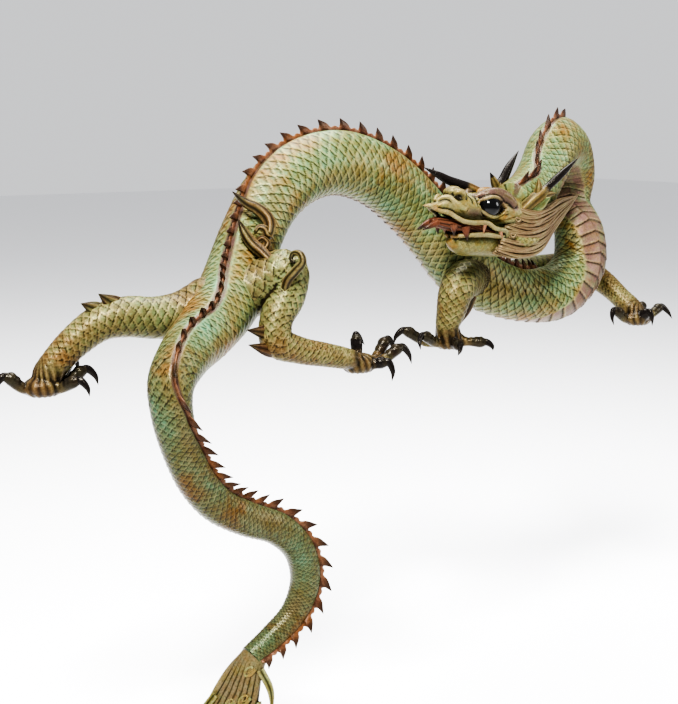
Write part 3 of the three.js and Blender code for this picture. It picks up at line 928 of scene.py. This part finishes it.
def carve(mesh: Mesh, relief: Callable) -> Mesh:
    """Moves a skin along its normals and tints it, darker in hollows and paler on ridges: patina with
    painted shade in the hollows, wear with painted highlight on the ridges.

    Args:
        mesh: The skin.
        relief: Gives heights in millimetres and tints, from points in millimetres and normals.

    Returns:
        The same mesh.
    """
    places, normals = surface(mesh)
    height, tint = relief(places, normals)
    mesh.vertices.foreach_set("co", ((places + normals * height[:, None]) * MM).ravel())
    deep = hollows(mesh)
    # Painted shade, partly patina, in hollows, and painted highlight, partly wear, on raised parts
    tint[:, 0] = np.clip(tint[:, 0] + smoothstep(*HOLLOW_DEPTHS, deep), 0, 1)
    tint[:, 1] = np.clip(tint[:, 1] + 0.25 * smoothstep(*WORN_AND_LIT_HEIGHTS, -deep), 0, 1)
    paint(mesh, tint)
    return mesh


def spiral(centre: Sequence, first: Sequence, second: Sequence, start: float, turns: float,
           thick: float) -> list[tuple]:
    """Points of a curl that winds inwards, with their radii."""
    steps = np.linspace(0, 1, 10)
    angle = 2 * math.pi * turns * steps
    reach = start * (1 - 0.82 * steps)
    ahead, aside = np.outer(reach * np.cos(angle), first), np.outer(reach * np.sin(angle), second)
    places = np.array(centre) + ahead + aside
    return [(*place, thick * (1 - 0.6 * step)) for place, step in zip(places, steps)]


def strand_skin(grooves: int, depth: float, groove: float = 0.0, ochre: float = 0.0) -> Skin:
    """A skin with grooves that run along it."""
    def skin(turn: Array, at: Array, size: Array) -> Pair:
        wave = 0.5 + 0.5 * np.cos(turn * grooves)
        lines = np.maximum(groove, (1 - wave) ** 3)
        return depth * (wave - 1), masks(turn, lines, 0.4 * wave**3, ochre=ochre)
    return skin


@dataclass
class Head:
    """Skull, jaw, lips, brows, teeth, tongue, ears, eyes, antlers and whisker, in the head's own frame."""

    frame: HeadFrame = field(default_factory=HeadFrame)
    voxel: float = 1.5
    eye_place: tuple = (62, 23, -2)
    eye_radius: float = 19.0
    lid_radius: float = 21.6
    eye_half: float = 24.5
    lid_edges: tuple = ((-1.0, 14.0), (-1.5, -15.0))
    lid_folds: tuple = ((-1.9, 1.5), (-6.5, 1.3), (-4.3, 0.9))
    lid_depth: float = 7.8
    nostril_place: tuple = (121, 17, 6)
    nostril_size: tuple = (6.5, 7.0, 4.5)
    nostril_depth: float = 9.0
    seam_depth: float = 2.6
    wrinkle_step: float = 9.0
    furrow_step: float = 4.5
    scale_size: tuple = (4.6, 9.5)
    skull: tuple = (
        (-34, -18, 30, 28), (-12, -13, 37, 32), (14, -9, 40, 31), (40, -6, 37, 29), (62, -7, 31, 26),
        (84, -8, 30, 23), (104, -9, 28, 22), (122, -9, 25, 19), (138, -10, 18, 13), (150, -13, 11, 7),
        (160, -15, 5, 3),
    )
    jaw: tuple = (
        (-18, -48, 29, 24), (14, -54, 30, 24), (40, -58, 28, 23), (64, -62, 25, 21), (86, -66, 21, 18),
        (104, -64, 15, 13), (114, -61, 7, 7),
    )
    tongue: tuple = (
        (20, -42, 18, 10), (60, -42, 22, 11), (96, -40, 24, 11), (124, -38, 21, 10), (144, -37, 13, 8),
        (155, -37, 5, 4),
    )
    lip: tuple = (
        (27, 36, -43, 3.5), (30, 37, -37, 4), (40, 37, -35, 4), (54, 36, -34, 4), (68, 34, -28, 4),
        (83, 33, -29, 4), (98, 31, -31, 4), (115, 28, -30, 4), (126, 24, -26, 4), (137, 18, -21, 4),
        (149, 11, -20, 3.5), (161, 3, -16, 3),
    )
    hood: tuple = (
        (110, 27, -13, 4), (119, 24, -10, 4.5), (128, 20, -4, 4.5), (136, 13, 2, 4.5), (145, 7, 1, 3.5),
        (152, 2, -6, 3),
    )
    lower_lip: tuple = (
        (31, 34, -45, 3.5), (46, 33, -46, 4), (62, 31, -46, 4), (80, 28, -48, 4), (96, 23, -51, 3.5),
        (108, 15, -54, 3.5), (115, 4, -55, 3),
    )
    brow: tuple = (
        (84, 14, 10, 5), (72, 22, 17, 7), (58, 27, 21, 8), (44, 30, 19, 9), (30, 33, 14, 8),
        (19, 36, 5, 5.5),
    )
    cheek: tuple = ((14, 34, -46, 9), (-10, 42, -48, 9), (-36, 48, -40, 0.6))
    ear: tuple = ((-10, 32, -2, 7), (-20, 38, 8, 10), (-30, 43, 17, 9), (-40, 50, 27, 0.6))
    lip_tip: tuple = ((148, 5, -14, 5), (158, 4, -14, 4), (167, 3, -15, 2.5), (175, 2, -16, 0.6))
    fangs: tuple = (
        ((124, 19, -38, 7), (123, 20, -46, 4), (121, 20, -55, 0.5)),
        ((104, 23, -38, 8), (101, 24, -48, 5), (96, 24, -60, 0.5)),
        ((148, 8, -38, 6), (161, 8, -45, 4), (175, 6, -53, 0.5)),
    )
    teeth: tuple = (((74, 33, -31, 4), (73, 33, -45, 0.4)), ((42, 36, -37, 4), (32, 35, -53, 0.4)))
    horns: tuple = (
        (0.36, ((-4, 28, 0, 9), (-16, 34, 16, 10), (-30, 39, 31, 9.5), (-40, 41, 43, 6.5),
                (-53, 44, 58, 6.5), (-69, 47, 76, 5), (-87, 50, 96, 0.5))),
        (0.95, ((-24, 37, 28, 7.5), (-23, 38, 42, 5.5), (-20, 38, 55, 0.5))),
        (0.95, ((-32, 40, 30, 7.5), (-45, 42, 33, 5.5), (-58, 44, 36, 0.5))),
        (0.14, ((8, -26, 20, 9), (2, -28, 34, 9), (-6, -30, 46, 8), (-19, -34, 69, 6.5),
                (-38, -38, 98, 0.5))),
        (0.7, ((4, -28, 30, 8), (14, -28, 42, 6), (25, -28, 54, 0.5))),
        (0.16, ((52, -18, 20, 7), (68, -25, 24, 8), (84, -31, 27, 8), (101, -38, 31, 7),
                (117, -46, 37, 5.5), (138, -57, 45, 0.5))),
    )
    scales: ScaleRelief = field(default_factory=lambda: ScaleRelief(rise=1, point=1.6, ink=0.28))

    def loft(self, name: str, sections: Sequence, skin: Skin | None = None) -> Mesh:
        """A smooth loft along the middle of the head."""
        rows = np.array(sections, float)
        middle = np.stack([rows[:, 0], np.zeros(len(rows)), rows[:, 1]], 1)
        line = Line(self.frame.out(middle), rows[:, 2:], [self.frame.up] * len(rows))
        return tube(name, line, 56, 80, skin or plain_skin())

    def ridge(self, name: str, points: Sequence) -> Mesh:
        """A round ridge through points of the head's frame."""
        return taper(name, points, 20, 48, place=self.frame.out)

    def near_ridge(self, places: Array, points: Sequence, drop: float = 0.0, reach: float = 2.5) -> Array:
        """How close points of the head are to a ridge: 1 on it and 0 beyond its reach."""
        rows = np.array(points, float) - np.array([0, 0, drop, 0])
        line = Line(rows[:, :3], np.stack([rows[:, 3], rows[:, 3]], 1))
        return 1 - smoothstep(0.2, reach, nearest(line, places)[1])

    def lids(self, f: Array, side: Array, u: Array) -> tuple:
        """The eye's opening, the rim of its lids, the fold beyond the rim and the crease between."""
        along = (f - self.eye_place[0]) / self.eye_half
        arch = np.clip(1 - along**2, 0, 1) ** 0.75
        upper, lower = (corner + rise * arch for corner, rise in self.lid_edges)
        inside = np.minimum(upper - u, u - lower)
        by_eye = (side > 22) * (np.abs(along) < 1.15)
        opening = smoothstep(-0.5, 0.5, inside) * by_eye * (np.abs(along) < 1)
        return opening, *(bump(middle, width, inside) * by_eye for middle, width in self.lid_folds)

    def nostrils(self, *places: Array) -> Array:
        """How deep in a nostril: 1 in its middle, fading outwards."""
        apart = zip(places, self.nostril_place, self.nostril_size)
        return np.exp(-sum(((place - middle) / size) ** 2 for place, middle, size in apart))

    def relief(self, places: Array, normals: Array) -> Pair:
        """Opens the lids and nostrils and cuts wrinkles, lip lines and scales."""
        f, a, u = self.frame.into(places).T
        side = np.abs(a)
        opening, lid, second, crease = self.lids(f, side, u)
        nostril = self.nostrils(f, side, u)
        snout = smoothstep(-8, 2, u) * bump(92, 15, f) * (1 - opening)
        wrinkle = snout * np.cos((f + 0.5 * side + 0.3 * u) / self.wrinkle_step * 2 * math.pi)
        rear = 1 - smoothstep(-2, 22, f + 0.3 * u)
        chin = 0.5 * (1 - smoothstep(-56, -48, u)) * smoothstep(8, 16, side)
        scaled = np.clip(rear + chin, 0, 1)
        long, wide = self.scale_size
        tall, groove, rim = self.scales.pattern((f + 60) / long, (u + 0.3 * a) / wide)
        half = np.stack([f, side, u], 1)
        lips = np.maximum(self.near_ridge(half, self.lip, reach=2.0),
                          self.near_ridge(half, self.lower_lip, reach=2.0))
        folded = np.maximum(self.near_ridge(half, self.hood), self.near_ridge(half, self.lip_tip))
        seam = self.near_ridge(half, self.lip[:8], drop=7.5, reach=2.6) * (side > 12)
        brows = self.near_ridge(half, self.brow, reach=4.0)
        cheek = bump(92, 18, f) * bump(-15, 6, u) * (side > 16)
        furrow = bump(-1, 0.5, np.cos((u + 0.4 * f) / self.furrow_step * math.pi))
        furrow = furrow * bump(30, 16, f) * bump(-22, 12, u) * (side > 25)
        height = (0.9 * wrinkle - self.nostril_depth * nostril + scaled * 0.9 * tall
                  - self.lid_depth * opening + 1.5 * lid + 0.8 * second
                  - self.seam_depth * seam * (1 - lips) - 0.7 * furrow)
        return height, masks(
            f,
            groove=(nostril * 1.4 + scaled * groove + 0.6 * np.clip(-wrinkle, 0, 1) + seam * (1 - lips)
                    + 0.8 * furrow + 0.7 * crease),
            rim=0.2 * folded + 0.25 * rim * scaled,
            brown=brows + 0.7 * lid * (u > 0) + 0.35 * lips + cheek * (1 - lips),
            dark=nostril * 1.2 + opening + 0.45 * brows + 0.5 * cheek * (1 - lips) * (1 - folded),
            ochre=0.75 + 0.2 * smoothstep(-20, 0, u),
            green=0.3 * bump(-36, 10, u) * bump(40, 30, f))

    def flesh(self) -> Piece:
        """Skull, jaw, lips, brows and lids as one carved skin."""
        axes = self.frame.axes
        parts = [self.loft("skull", self.skull), self.loft("jaw", self.jaw)]
        for name, place, radii in (
            ("nostril", (116, 13, 7), (13, 10, 12)),
            ("lids", self.eye_place, (self.lid_radius,) * 3),
            ("jowl", (-8, 26, -32), (26, 14, 26)),
            ("cheekbone", (22, 31, -16), (26, 9, 9)),
            ("forehead", (36, 12, 18), (26, 12, 12)),
            ("nose", (118, 3, 12), (14, 9, 10)),
        ):
            parts.extend(ball(name, self.frame.out(row[0])[0], radii, axes) for row in both_sides([place]))
        for points in (self.lip, self.hood, self.lower_lip, self.lip_tip, self.brow, self.cheek):
            parts.extend(self.ridge("ridge", row) for row in both_sides(points))
        curl = spiral((24, 37, -44), (1, 0, 0), (0, 0, -1), 7.5, 1.1, 3.6)
        parts.extend(self.ridge("curl", row) for row in both_sides(curl))
        skin = melted("head_skin", parts, self.voxel)
        return joined("head", [carve(skin, self.relief)], Look.PATINA)

    def mouth(self) -> Piece:
        """The leaf-like tongue with its fangs, and the teeth."""
        def leaf(turn: Array, at: Array, size: Array) -> Pair:
            wave = np.cos(turn * 9)
            return 0.04 * wave, masks(turn, groove=bump(-1, 0.5, wave), brown=0.8)

        def fang(turn: Array, at: Array, size: Array) -> Pair:
            return np.zeros_like(turn), masks(turn, brown=0.8, dark=1 - smoothstep(2.0, 5.5, size))

        meshes = [self.loft("tongue", self.tongue, leaf)]
        for name, rows, around, along, skin in (
            ("fang", self.fangs, 20, 30, fang),
            ("tooth", self.teeth, 16, 20, plain_skin(rim=1.0)),
        ):
            for row in rows:
                meshes.extend(taper(name, points, around, along, skin, place=self.frame.out)
                              for points in both_sides(row))
        return joined("mouth", meshes, Look.BROWN)

    def antlers(self) -> Piece:
        """The pair of antlers and the far whisker, dark to their tips."""
        def skin(start: float) -> Skin:
            def grooved(turn: Array, at: Array, size: Array) -> Pair:
                wave = np.cos(turn * 5 + at * 0.02)
                dark = smoothstep(start, start + 0.09, at / at.max())
                rim = 0.4 * bump(1, 0.3, wave) * (1 - dark)
                tint = masks(turn, 0.7 * bump(-1, 0.5, wave), rim, dark=dark, ochre=1.0)
                return 0.06 * wave * (1 - 0.7 * dark), tint
            return grooved

        meshes = [taper("horn", points, 30, 70, skin(start), place=self.frame.out)
                  for start, points in self.horns]
        return joined("antlers", meshes, Look.LIMB)

    def ears(self) -> Piece:
        """Leaf-shaped ears with ribs."""
        def skin(turn: Array, at: Array, size: Array) -> Pair:
            hollow = smoothstep(0.2, 0.9, np.sin(turn))
            ribs = 0.05 * np.cos(turn * 8)
            return -0.35 * hollow + ribs, masks(turn, 0.5 * hollow, 0.8 * (1 - hollow))

        meshes = [taper("ear", points, 32, 36, skin, flat=0.55, place=self.frame.out)
                  for points in both_sides(self.ear)]
        return joined("ears", meshes, Look.PATINA)

    def eyes(self) -> list[Piece]:
        """The two glass balls."""
        pieces = []
        for name, points in zip(("eye_left", "eye_right"), both_sides([self.eye_place])):
            mesh = ball(name, self.frame.out(points[0])[0], (self.eye_radius,) * 3, self.frame.axes)
            piece = joined(f"glass_{name}", [mesh], Look.EYE)
            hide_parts(name)
            pieces.append(piece)
        return pieces

    def build(self) -> list[Piece]:
        """All pieces of the head."""
        return [self.flesh(), self.mouth(), self.antlers(), self.ears(), *self.eyes()]


@dataclass
class Mane:
    """Locks that fan out from the cheeks and meet in a curled tip."""

    sheets: list = field(default_factory=lambda: [
        ([(70, -62, 232), (102, -73, 222), (139, -70, 230), (182, -55, 238)],
         [(34, -66, 160), (72, -76, 152), (118, -73, 157), (166, -60, 190)], (240, -36, 241)),
        ([(80, -8, 228), (98, 0, 218), (118, 2, 216), (134, 3, 214)],
         [(44, -10, 164), (66, -2, 158), (94, 2, 166), (116, 3, 184)], (150, 4, 200)),
    ])
    curls: tuple = ((70, -78, 212), (58, -80, 188))
    strands: int = 70
    core_radii: tuple = (36, 36, 33, 20)
    core_flat: float = 0.16
    core_grooves: int = 44
    seed: int = 4

    def build(self) -> Piece:
        """The mane of both sides as one piece."""
        chance = np.random.default_rng(self.seed)
        meshes = []
        for top, bottom, tip in self.sheets:
            top, bottom, tip = np.array(top, float), np.array(bottom, float), np.array(tip, float)
            aside = unit(np.cross(top[1] - bottom[1], top[2] - top[0]))
            core = [(*((t + b) / 2), r) for t, b, r in zip(top, bottom, self.core_radii)] + [(*tip, 1.0)]
            rows = np.array(core)
            sizes = np.stack([rows[:, 3] * self.core_flat, rows[:, 3]], 1)
            line = Line(rows[:, :3], sizes, [top[1] - bottom[1]] * len(rows))
            meshes.append(tube("mane_core", line, 90, 60, strand_skin(self.core_grooves, 0.12, groove=0.6)))
            for k in range(self.strands):
                share = (k + chance.uniform(-0.3, 0.3)) / (self.strands - 1)
                lift = (6.5 if k % 2 else 3.0) * (1 if k % 4 < 2 else -1) + chance.uniform(-1, 1)
                path = top + (bottom - top) * share
                wave = 2.2 * np.sin(np.arange(4) * 1.9 + 0.5 * k)
                sway = (wave + chance.uniform(-1.2, 1.2, 4))[:, None] * unit(top - bottom)
                path = path + sway + aside * lift * np.array([0.8, 1.0, 0.9, 0.6])[:, None]
                thick = np.array([2.3, 2.8, 2.6, 2.0]) * chance.uniform(0.85, 1.25)
                points = [(*p, r) for p, r in zip(path, thick)] + [(*(tip + aside * lift * 0.15), 0.7)]
                meshes.append(taper("strand", points, 8, 26, strand_skin(3, 0.24)))
        down, ahead = (0.1, 0.0, -1.0), (0.85, -0.5, 0.1)
        for centre in self.curls:
            curl = spiral(centre, ahead, down, 5.0, 1.1, 2.2)
            meshes.append(taper("curl", curl, 16, 70, strand_skin(3, 0.2)))
        return joined("mane", meshes, Look.HAIR)


@dataclass
class Flourish:
    """The flame curls on hip and knee, and the tail's fin."""

    flames: tuple = (
        ((-371, -13, 209, 3), (-365, -13, 215, 4), (-357, -17, 212, 6), (-354, -20, 203, 7),
         (-347, -14, 216, 9), (-347, -3, 228, 10), (-357, 6, 240, 9), (-373, 11, 249, 7),
         (-391, 16, 265, 0.6)),
        ((-361, -42, 168, 7), (-368, -27, 181, 9), (-377, -15, 193, 9), (-385, -6, 210, 7),
         (-392, -2, 227, 0.6)),
        ((-372, -17, 195, 3), (-364, -20, 200, 4), (-358, -25, 193, 5), (-365, -24, 184, 6),
         (-373, -19, 188, 5), (-378, -10, 200, 4), (-378, -5, 214, 0.6)),
        ((-357, -69, 128, 6), (-355, -75, 145, 7), (-347, -85, 160, 7), (-340, -90, 171, 6),
         (-341, -85, 182, 5), (-345, -74, 182, 4), (-349, -74, 173, 3), (-346, -80, 169, 2)),
    )
    fin_across: tuple = (0.66, -0.68, 0.29)
    fin: tuple = (
        (-440, -128, -364, 17, 17), (-462, -131, -392, 25, 14), (-480, -132, -431, 34, 12),
        (-500, -132, -470, 36, 9), (-516, -131, -508, 24, 6), (-530, -129, -556, 0.6, 0.6),
    )
    points: tuple = (
        ((-450, -150, -385, 7), (-444, -166, -410, 6), (-446, -174, -444, 0.5)),
        ((-460, -156, -428, 7), (-462, -168, -466, 6), (-472, -172, -502, 0.5)),
        ((-500, -112, -424, 7), (-520, -104, -452, 6), (-538, -98, -488, 0.5)),
    )

    def curls(self) -> Piece:
        """The flame curls."""
        def flame(turn: Array, at: Array, size: Array) -> Pair:
            wave = 0.5 + 0.5 * np.cos(turn * 5)
            tip = smoothstep(0.72, 0.95, at / at.max())
            return 0.16 * (wave - 1), masks(
                turn, (1 - wave) ** 2, 0.35 * wave**3, brown=0.7, dark=0.8 * tip, ochre=0.4, green=0.2)

        meshes = [taper("flame", points, 48, 70, flame) for points in self.flames]
        return joined("flames", meshes, Look.LIMB)

    def tail_fin(self) -> Piece:
        """The fin with its rays, points and curls."""
        rows = np.array(self.fin, float)
        line = Line(rows[:, :3], np.stack([rows[:, 4], rows[:, 3]], 1), [self.fin_across] * len(rows))

        def rays(turn: Array, at: Array, size: Array) -> Pair:
            offset = np.cos(turn)
            wave = np.cos(offset * 8 * math.pi + at / 18)
            fade = smoothstep(5, 50, at)
            edge = bump(-1.0, 0.12, offset) * fade
            groove = fade * bump(-1, 0.35, wave) * (1 - edge)
            tint = masks(turn, groove, 0.6 * edge, brown=0.4, dark=0.15, ochre=0.8)
            return 0.02 * fade * wave * (1 - edge) + 0.12 * edge, tint

        meshes = [tube("fin", line, 120, 140, rays)]
        ribs = strand_skin(4, 0.18, ochre=0.6)
        meshes += [taper("fin_point", points, 30, 40, ribs) for points in self.points]
        across = unit(np.array(self.fin_across))
        down = unit(rows[3, :3] - rows[1, :3])
        face = np.cross(across, down)
        face = face if face[1] < 0 else -face
        for stop, aside, size in ((1, 10, 9), (2, 17, 10), (2, -4, 8), (3, 16, 9), (3, 0, 7)):
            centre = rows[stop, :3] + across * aside + face * (rows[stop, 4] + 1)
            points = spiral(centre, across, down, size, 1.5, 2.3)
            meshes.append(taper("fin_curl", points, 16, 70, plain_skin(rim=0.2, ochre=0.5)))
        return joined("tail_fin", meshes, Look.PATINA)

    def build(self) -> list[Piece]:
        """The curls and the fin."""
        return [self.curls(), self.tail_fin()]


@dataclass(frozen=True)
class Finish:
    """A metal's colours, as linear red, green and blue, and how it shines."""

    look: Look
    base: tuple
    patch: tuple
    pale: tuple
    # groove and dark also colour painted shade, and rim a painted highlight with wear on raised edges
    groove: tuple
    rim: tuple
    zone: tuple
    dark: tuple = (0.006, 0.0048, 0.0044)
    patchiness: float = 0.8
    metallic: float = 0.15
    roughness: float = 0.27
    grain: float = 0.35
    sheen: float = 0.13
    gleam: tuple = (0.45, 0.42, 0.33)


FINISHES = [
    Finish(Look.PATINA, base=(0.066, 0.070, 0.023), patch=(0.095, 0.038, 0.007),
           pale=(0.052, 0.135, 0.080), groove=(0.005, 0.0045, 0.0015), rim=(0.22, 0.18, 0.075),
           zone=(0.082, 0.046, 0.036)),
    Finish(Look.LIMB, base=(0.054, 0.044, 0.016), patch=(0.056, 0.025, 0.008),
           pale=(0.074, 0.11, 0.045), groove=(0.005, 0.0035, 0.0015), rim=(0.18, 0.13, 0.055),
           zone=(0.026, 0.011, 0.006)),
    Finish(Look.BROWN, base=(0.046, 0.018, 0.010), patch=(0.07, 0.028, 0.010),
           pale=(0.09, 0.052, 0.03), groove=(0.006, 0.003, 0.002), rim=(0.16, 0.08, 0.045),
           zone=(0.052, 0.016, 0.009), dark=(0.013, 0.008, 0.006)),
    Finish(Look.HAIR, base=(0.088, 0.056, 0.029), patch=(0.07, 0.038, 0.02), pale=(0.12, 0.11, 0.048),
           groove=(0.007, 0.004, 0.0025), rim=(0.24, 0.17, 0.105), zone=(0.075, 0.046, 0.02),
           patchiness=0.5),
]


class Workshop:
    """Makes the materials."""

    COLOURS = ("Base", "Patch", "Pale", "Groove", "Rim", "Zone", "Dark")
    AMOUNTS = ("Patchiness", "Grain", "Roughness")

    def __init__(self) -> None:
        """Builds the shared node group."""
        self.group = self._patina()

    def _patina(self) -> bpy.types.NodeTree:
        """The node group that ages the metal and paints light on it: stains, dark grooves with painted
        shade, worn rims with painted highlight, painted shade in the dark and zone masks, and grain.
        """
        tree = bpy.data.node_groups.new("patina", "ShaderNodeTree")
        for way, kind, names in (
            ("INPUT", "Color", self.COLOURS), ("INPUT", "Float", self.AMOUNTS),
            ("OUTPUT", "Color", ["Colour"]), ("OUTPUT", "Float", ["Roughness"]),
            ("OUTPUT", "Vector", ["Normal"]),
        ):
            for name in names:
                tree.interface.new_socket(name, in_out=way, socket_type=f"NodeSocket{kind}")
        nodes, links = tree.nodes, tree.links
        source, result = nodes.new("NodeGroupInput"), nodes.new("NodeGroupOutput")
        place = nodes.new("ShaderNodeTexCoord")

        def mask(name: str) -> tuple[bpy.types.Node, bpy.types.Node]:
            node = nodes.new("ShaderNodeAttribute")
            node.attribute_name = name
            split = nodes.new("ShaderNodeSeparateColor")
            links.new(node.outputs["Color"], split.inputs["Color"])
            return node, split

        def cloud(scale: float, detail: float, low: float, high: float) -> Socket:
            noise = nodes.new("ShaderNodeTexNoise")
            noise.inputs["Scale"].default_value = scale
            noise.inputs["Detail"].default_value = detail
            noise.inputs["Roughness"].default_value = 0.6
            links.new(place.outputs["Object"], noise.inputs["Vector"])
            remap = nodes.new("ShaderNodeMapRange")
            remap.inputs["From Min"].default_value = low
            remap.inputs["From Max"].default_value = high
            links.new(noise.outputs["Fac"], remap.inputs["Value"])
            return remap.outputs["Result"]

        def maths(operation: str, *values: Socket | float, clamp: bool = True) -> Socket:
            node = nodes.new("ShaderNodeMath")
            node.operation = operation
            node.use_clamp = clamp
            for value, socket in zip(values, node.inputs):
                if isinstance(value, Socket):
                    links.new(value, socket)
                else:
                    socket.default_value = value
            return node.outputs[0]

        def mix(*sockets: Socket) -> Socket:
            node = nodes.new("ShaderNodeMix")
            node.data_type = "RGBA"
            for value, name in zip(sockets, ("Factor", "A", "B")):
                links.new(value, node.inputs[name])
            return node.outputs["Result"]

        given = source.outputs
        tint, tint_split = mask(TINT)
        _, wash_split = mask(WASH)
        wide = cloud(11.0, 5.0, 0.46, 0.60)
        middle = cloud(34.0, 5.0, 0.48, 0.62)
        speck = cloud(130.0, 4.0, 0.45, 0.65)
        fine = cloud(420.0, 3.0, 0.3, 0.75)
        uneven = maths("ADD", maths("MULTIPLY", middle, 0.6), 0.4)
        ochre = maths("MULTIPLY", wash_split.outputs["Red"], uneven)
        green = maths("MULTIPLY", wash_split.outputs["Green"], uneven)
        stained = maths("MAXIMUM", maths("MULTIPLY", wide, given["Patchiness"]), ochre)
        colour = mix(maths("MULTIPLY", speck, 0.4), given["Base"], given["Pale"])
        colour = mix(maths("SUBTRACT", stained, green), colour, given["Patch"])
        colour = mix(maths("MAXIMUM", maths("MULTIPLY", middle, 0.3), green), colour, given["Pale"])
        worn = cloud(70.0, 4.0, 0.2, 0.6)
        # Zone brown: crest, belly, brow and mouth colour, and painted shade where the legs meet the body
        colour = mix(maths("MULTIPLY", tint_split.outputs["Blue"], worn), colour, given["Zone"])
        # Pale rims: wear and painted highlight on raised edges, broken up by noise
        wear_and_highlight = maths("ADD", maths("MULTIPLY", middle, 0.5), 0.4)
        colour = mix(maths("MULTIPLY", tint_split.outputs["Green"], wear_and_highlight), colour, given["Rim"])
        # Grooves: patina in lines and hollows, partly painted shade
        colour = mix(maths("MULTIPLY", tint_split.outputs["Red"], 0.97), colour, given["Groove"])
        # Dark: claws, spike and toe tips and openings, and painted shade on the hanging tail and leg roots
        colour = mix(tint.outputs["Alpha"], colour, given["Dark"])
        shade = nodes.new("ShaderNodeMapRange")
        shade.inputs["To Min"].default_value = 0.7
        shade.inputs["To Max"].default_value = 1.25
        links.new(fine, shade.inputs["Value"])
        scale = nodes.new("ShaderNodeVectorMath")
        scale.operation = "SCALE"
        links.new(colour, scale.inputs[0])
        links.new(shade.outputs["Result"], scale.inputs["Scale"])
        links.new(scale.outputs["Vector"], result.inputs["Colour"])

        rough = maths("MULTIPLY_ADD", fine, 0.14, source.outputs["Roughness"], clamp=False)
        rough = maths("MULTIPLY_ADD", tint.outputs["Alpha"], -0.2, rough, clamp=False)
        links.new(rough, result.inputs["Roughness"])
        swell = nodes.new("ShaderNodeBump")
        swell.inputs["Distance"].default_value = 0.0006
        links.new(source.outputs["Grain"], swell.inputs["Strength"])
        links.new(fine, swell.inputs["Height"])
        links.new(swell.outputs["Normal"], result.inputs["Normal"])
        return tree

    def metal(self, finish: Finish) -> bpy.types.Material:
        """A patinated metal."""
        material, shader = principled(finish.look.value, {
            "Metallic": finish.metallic, "Specular IOR Level": finish.sheen,
            "Specular Tint": (*finish.gleam, 1)})
        aged = material.node_tree.nodes.new("ShaderNodeGroup")
        aged.node_tree = self.group
        for name in self.COLOURS:
            aged.inputs[name].default_value = (*getattr(finish, name.lower()), 1.0)
        for name in self.AMOUNTS:
            aged.inputs[name].default_value = getattr(finish, name.lower())
        for name, socket in (("Colour", "Base Color"), ("Roughness", "Roughness"), ("Normal", "Normal")):
            material.node_tree.links.new(aged.outputs[name], shader.inputs[socket])
        return material

    def glass(self) -> bpy.types.Material:
        """The polished black of the eyes."""
        return principled(Look.EYE.value, {
            "Base Color": (0.002, 0.002, 0.002, 1), "Roughness": 0.05, "Specular IOR Level": 0.15})[0]

    def build(self) -> None:
        """Makes every finish."""
        for finish in FINISHES:
            self.metal(finish)
        self.glass()


@dataclass
class Studio:
    """Floor, soft light and camera."""

    floor_level: float = -0.62
    floor_size: float = 30.0
    eye: tuple = (-1.2239, -1.5030, 0.36)
    right: tuple = (0.8312, -0.5560, 0.0)
    forward: tuple = (0.5462, 0.8165, -0.1867)
    lens: float = 61.36
    sensor: float = 36.0
    aim: tuple = (-0.1, 0.0, 0.1)
    lamps: tuple = (
        ("key", (-1.4, -1.2, 2.2), 0.8, 430.0),
        ("top", (0.3, 0.6, 2.6), 2.0, 220.0),
        ("side", (2.0, -1.6, 1.0), 1.2, 60.0),
    )

    def floor(self) -> None:
        """A plain pale floor."""
        sheet = bmesh.new()
        bmesh.ops.create_grid(sheet, x_segments=1, y_segments=1, size=self.floor_size / 2)
        bmesh.ops.translate(sheet, vec=(0, 0, self.floor_level), verts=sheet.verts)
        floor = placed("floor", settled("floor", sheet))
        pale, _ = principled("pale_floor", {"Base Color": (0.86, 0.86, 0.87, 1), "Roughness": 0.9})
        floor.data.materials.append(pale)

    def lights(self) -> None:
        """Three soft lamps, an even pale surround and a view with clear darks."""
        world = bpy.data.worlds.new("surround")
        world.use_nodes = True
        surround = world.node_tree.nodes["Background"].inputs
        surround["Color"].default_value = (0.86, 0.87, 0.89, 1)
        surround["Strength"].default_value = 0.75
        bpy.context.scene.world = world
        bpy.context.scene.view_settings.look = "AgX - High Contrast"
        for name, place, size, energy in self.lamps:
            lamp = bpy.data.lights.new(name, "AREA")
            lamp.shape = "DISK"
            lamp.size = size
            lamp.energy = energy
            holder = placed(name, lamp)
            holder.location = place
            aim = Vector(self.aim) - Vector(place)
            holder.rotation_euler = aim.to_track_quat("-Z", "Y").to_euler()

    def camera(self) -> None:
        """The camera at the photo's place."""
        lens = bpy.data.cameras.new("camera")
        lens.lens = self.lens
        lens.sensor_fit = "VERTICAL"
        lens.sensor_height = self.sensor
        holder = placed("camera", lens)
        right, forward = Vector(self.right).normalized(), Vector(self.forward).normalized()
        upward = right.cross(forward)
        turn = Matrix((right, upward, -forward)).transposed().to_4x4()
        holder.matrix_world = Matrix.Translation(Vector(self.eye)) @ turn
        bpy.context.scene.camera = holder

    def build(self) -> None:
        """Floor, lights and camera."""
        self.floor()
        self.lights()
        self.camera()


def main() -> None:
    """Builds the dragon's finish on its frame."""
    logging.basicConfig(level=logging.INFO, format="%(message)s")
    Workshop().build()
    pieces = Body().build()
    pieces += [leg.build() for leg in LEGS]
    pieces += Head().build()
    pieces.append(Mane().build())
    pieces += Flourish().build()
    for piece in pieces:
        if piece.name.startswith("glass_"):
            continue
        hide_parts("dragon")
    Studio().build()


if __name__ == "__main__":
    main()
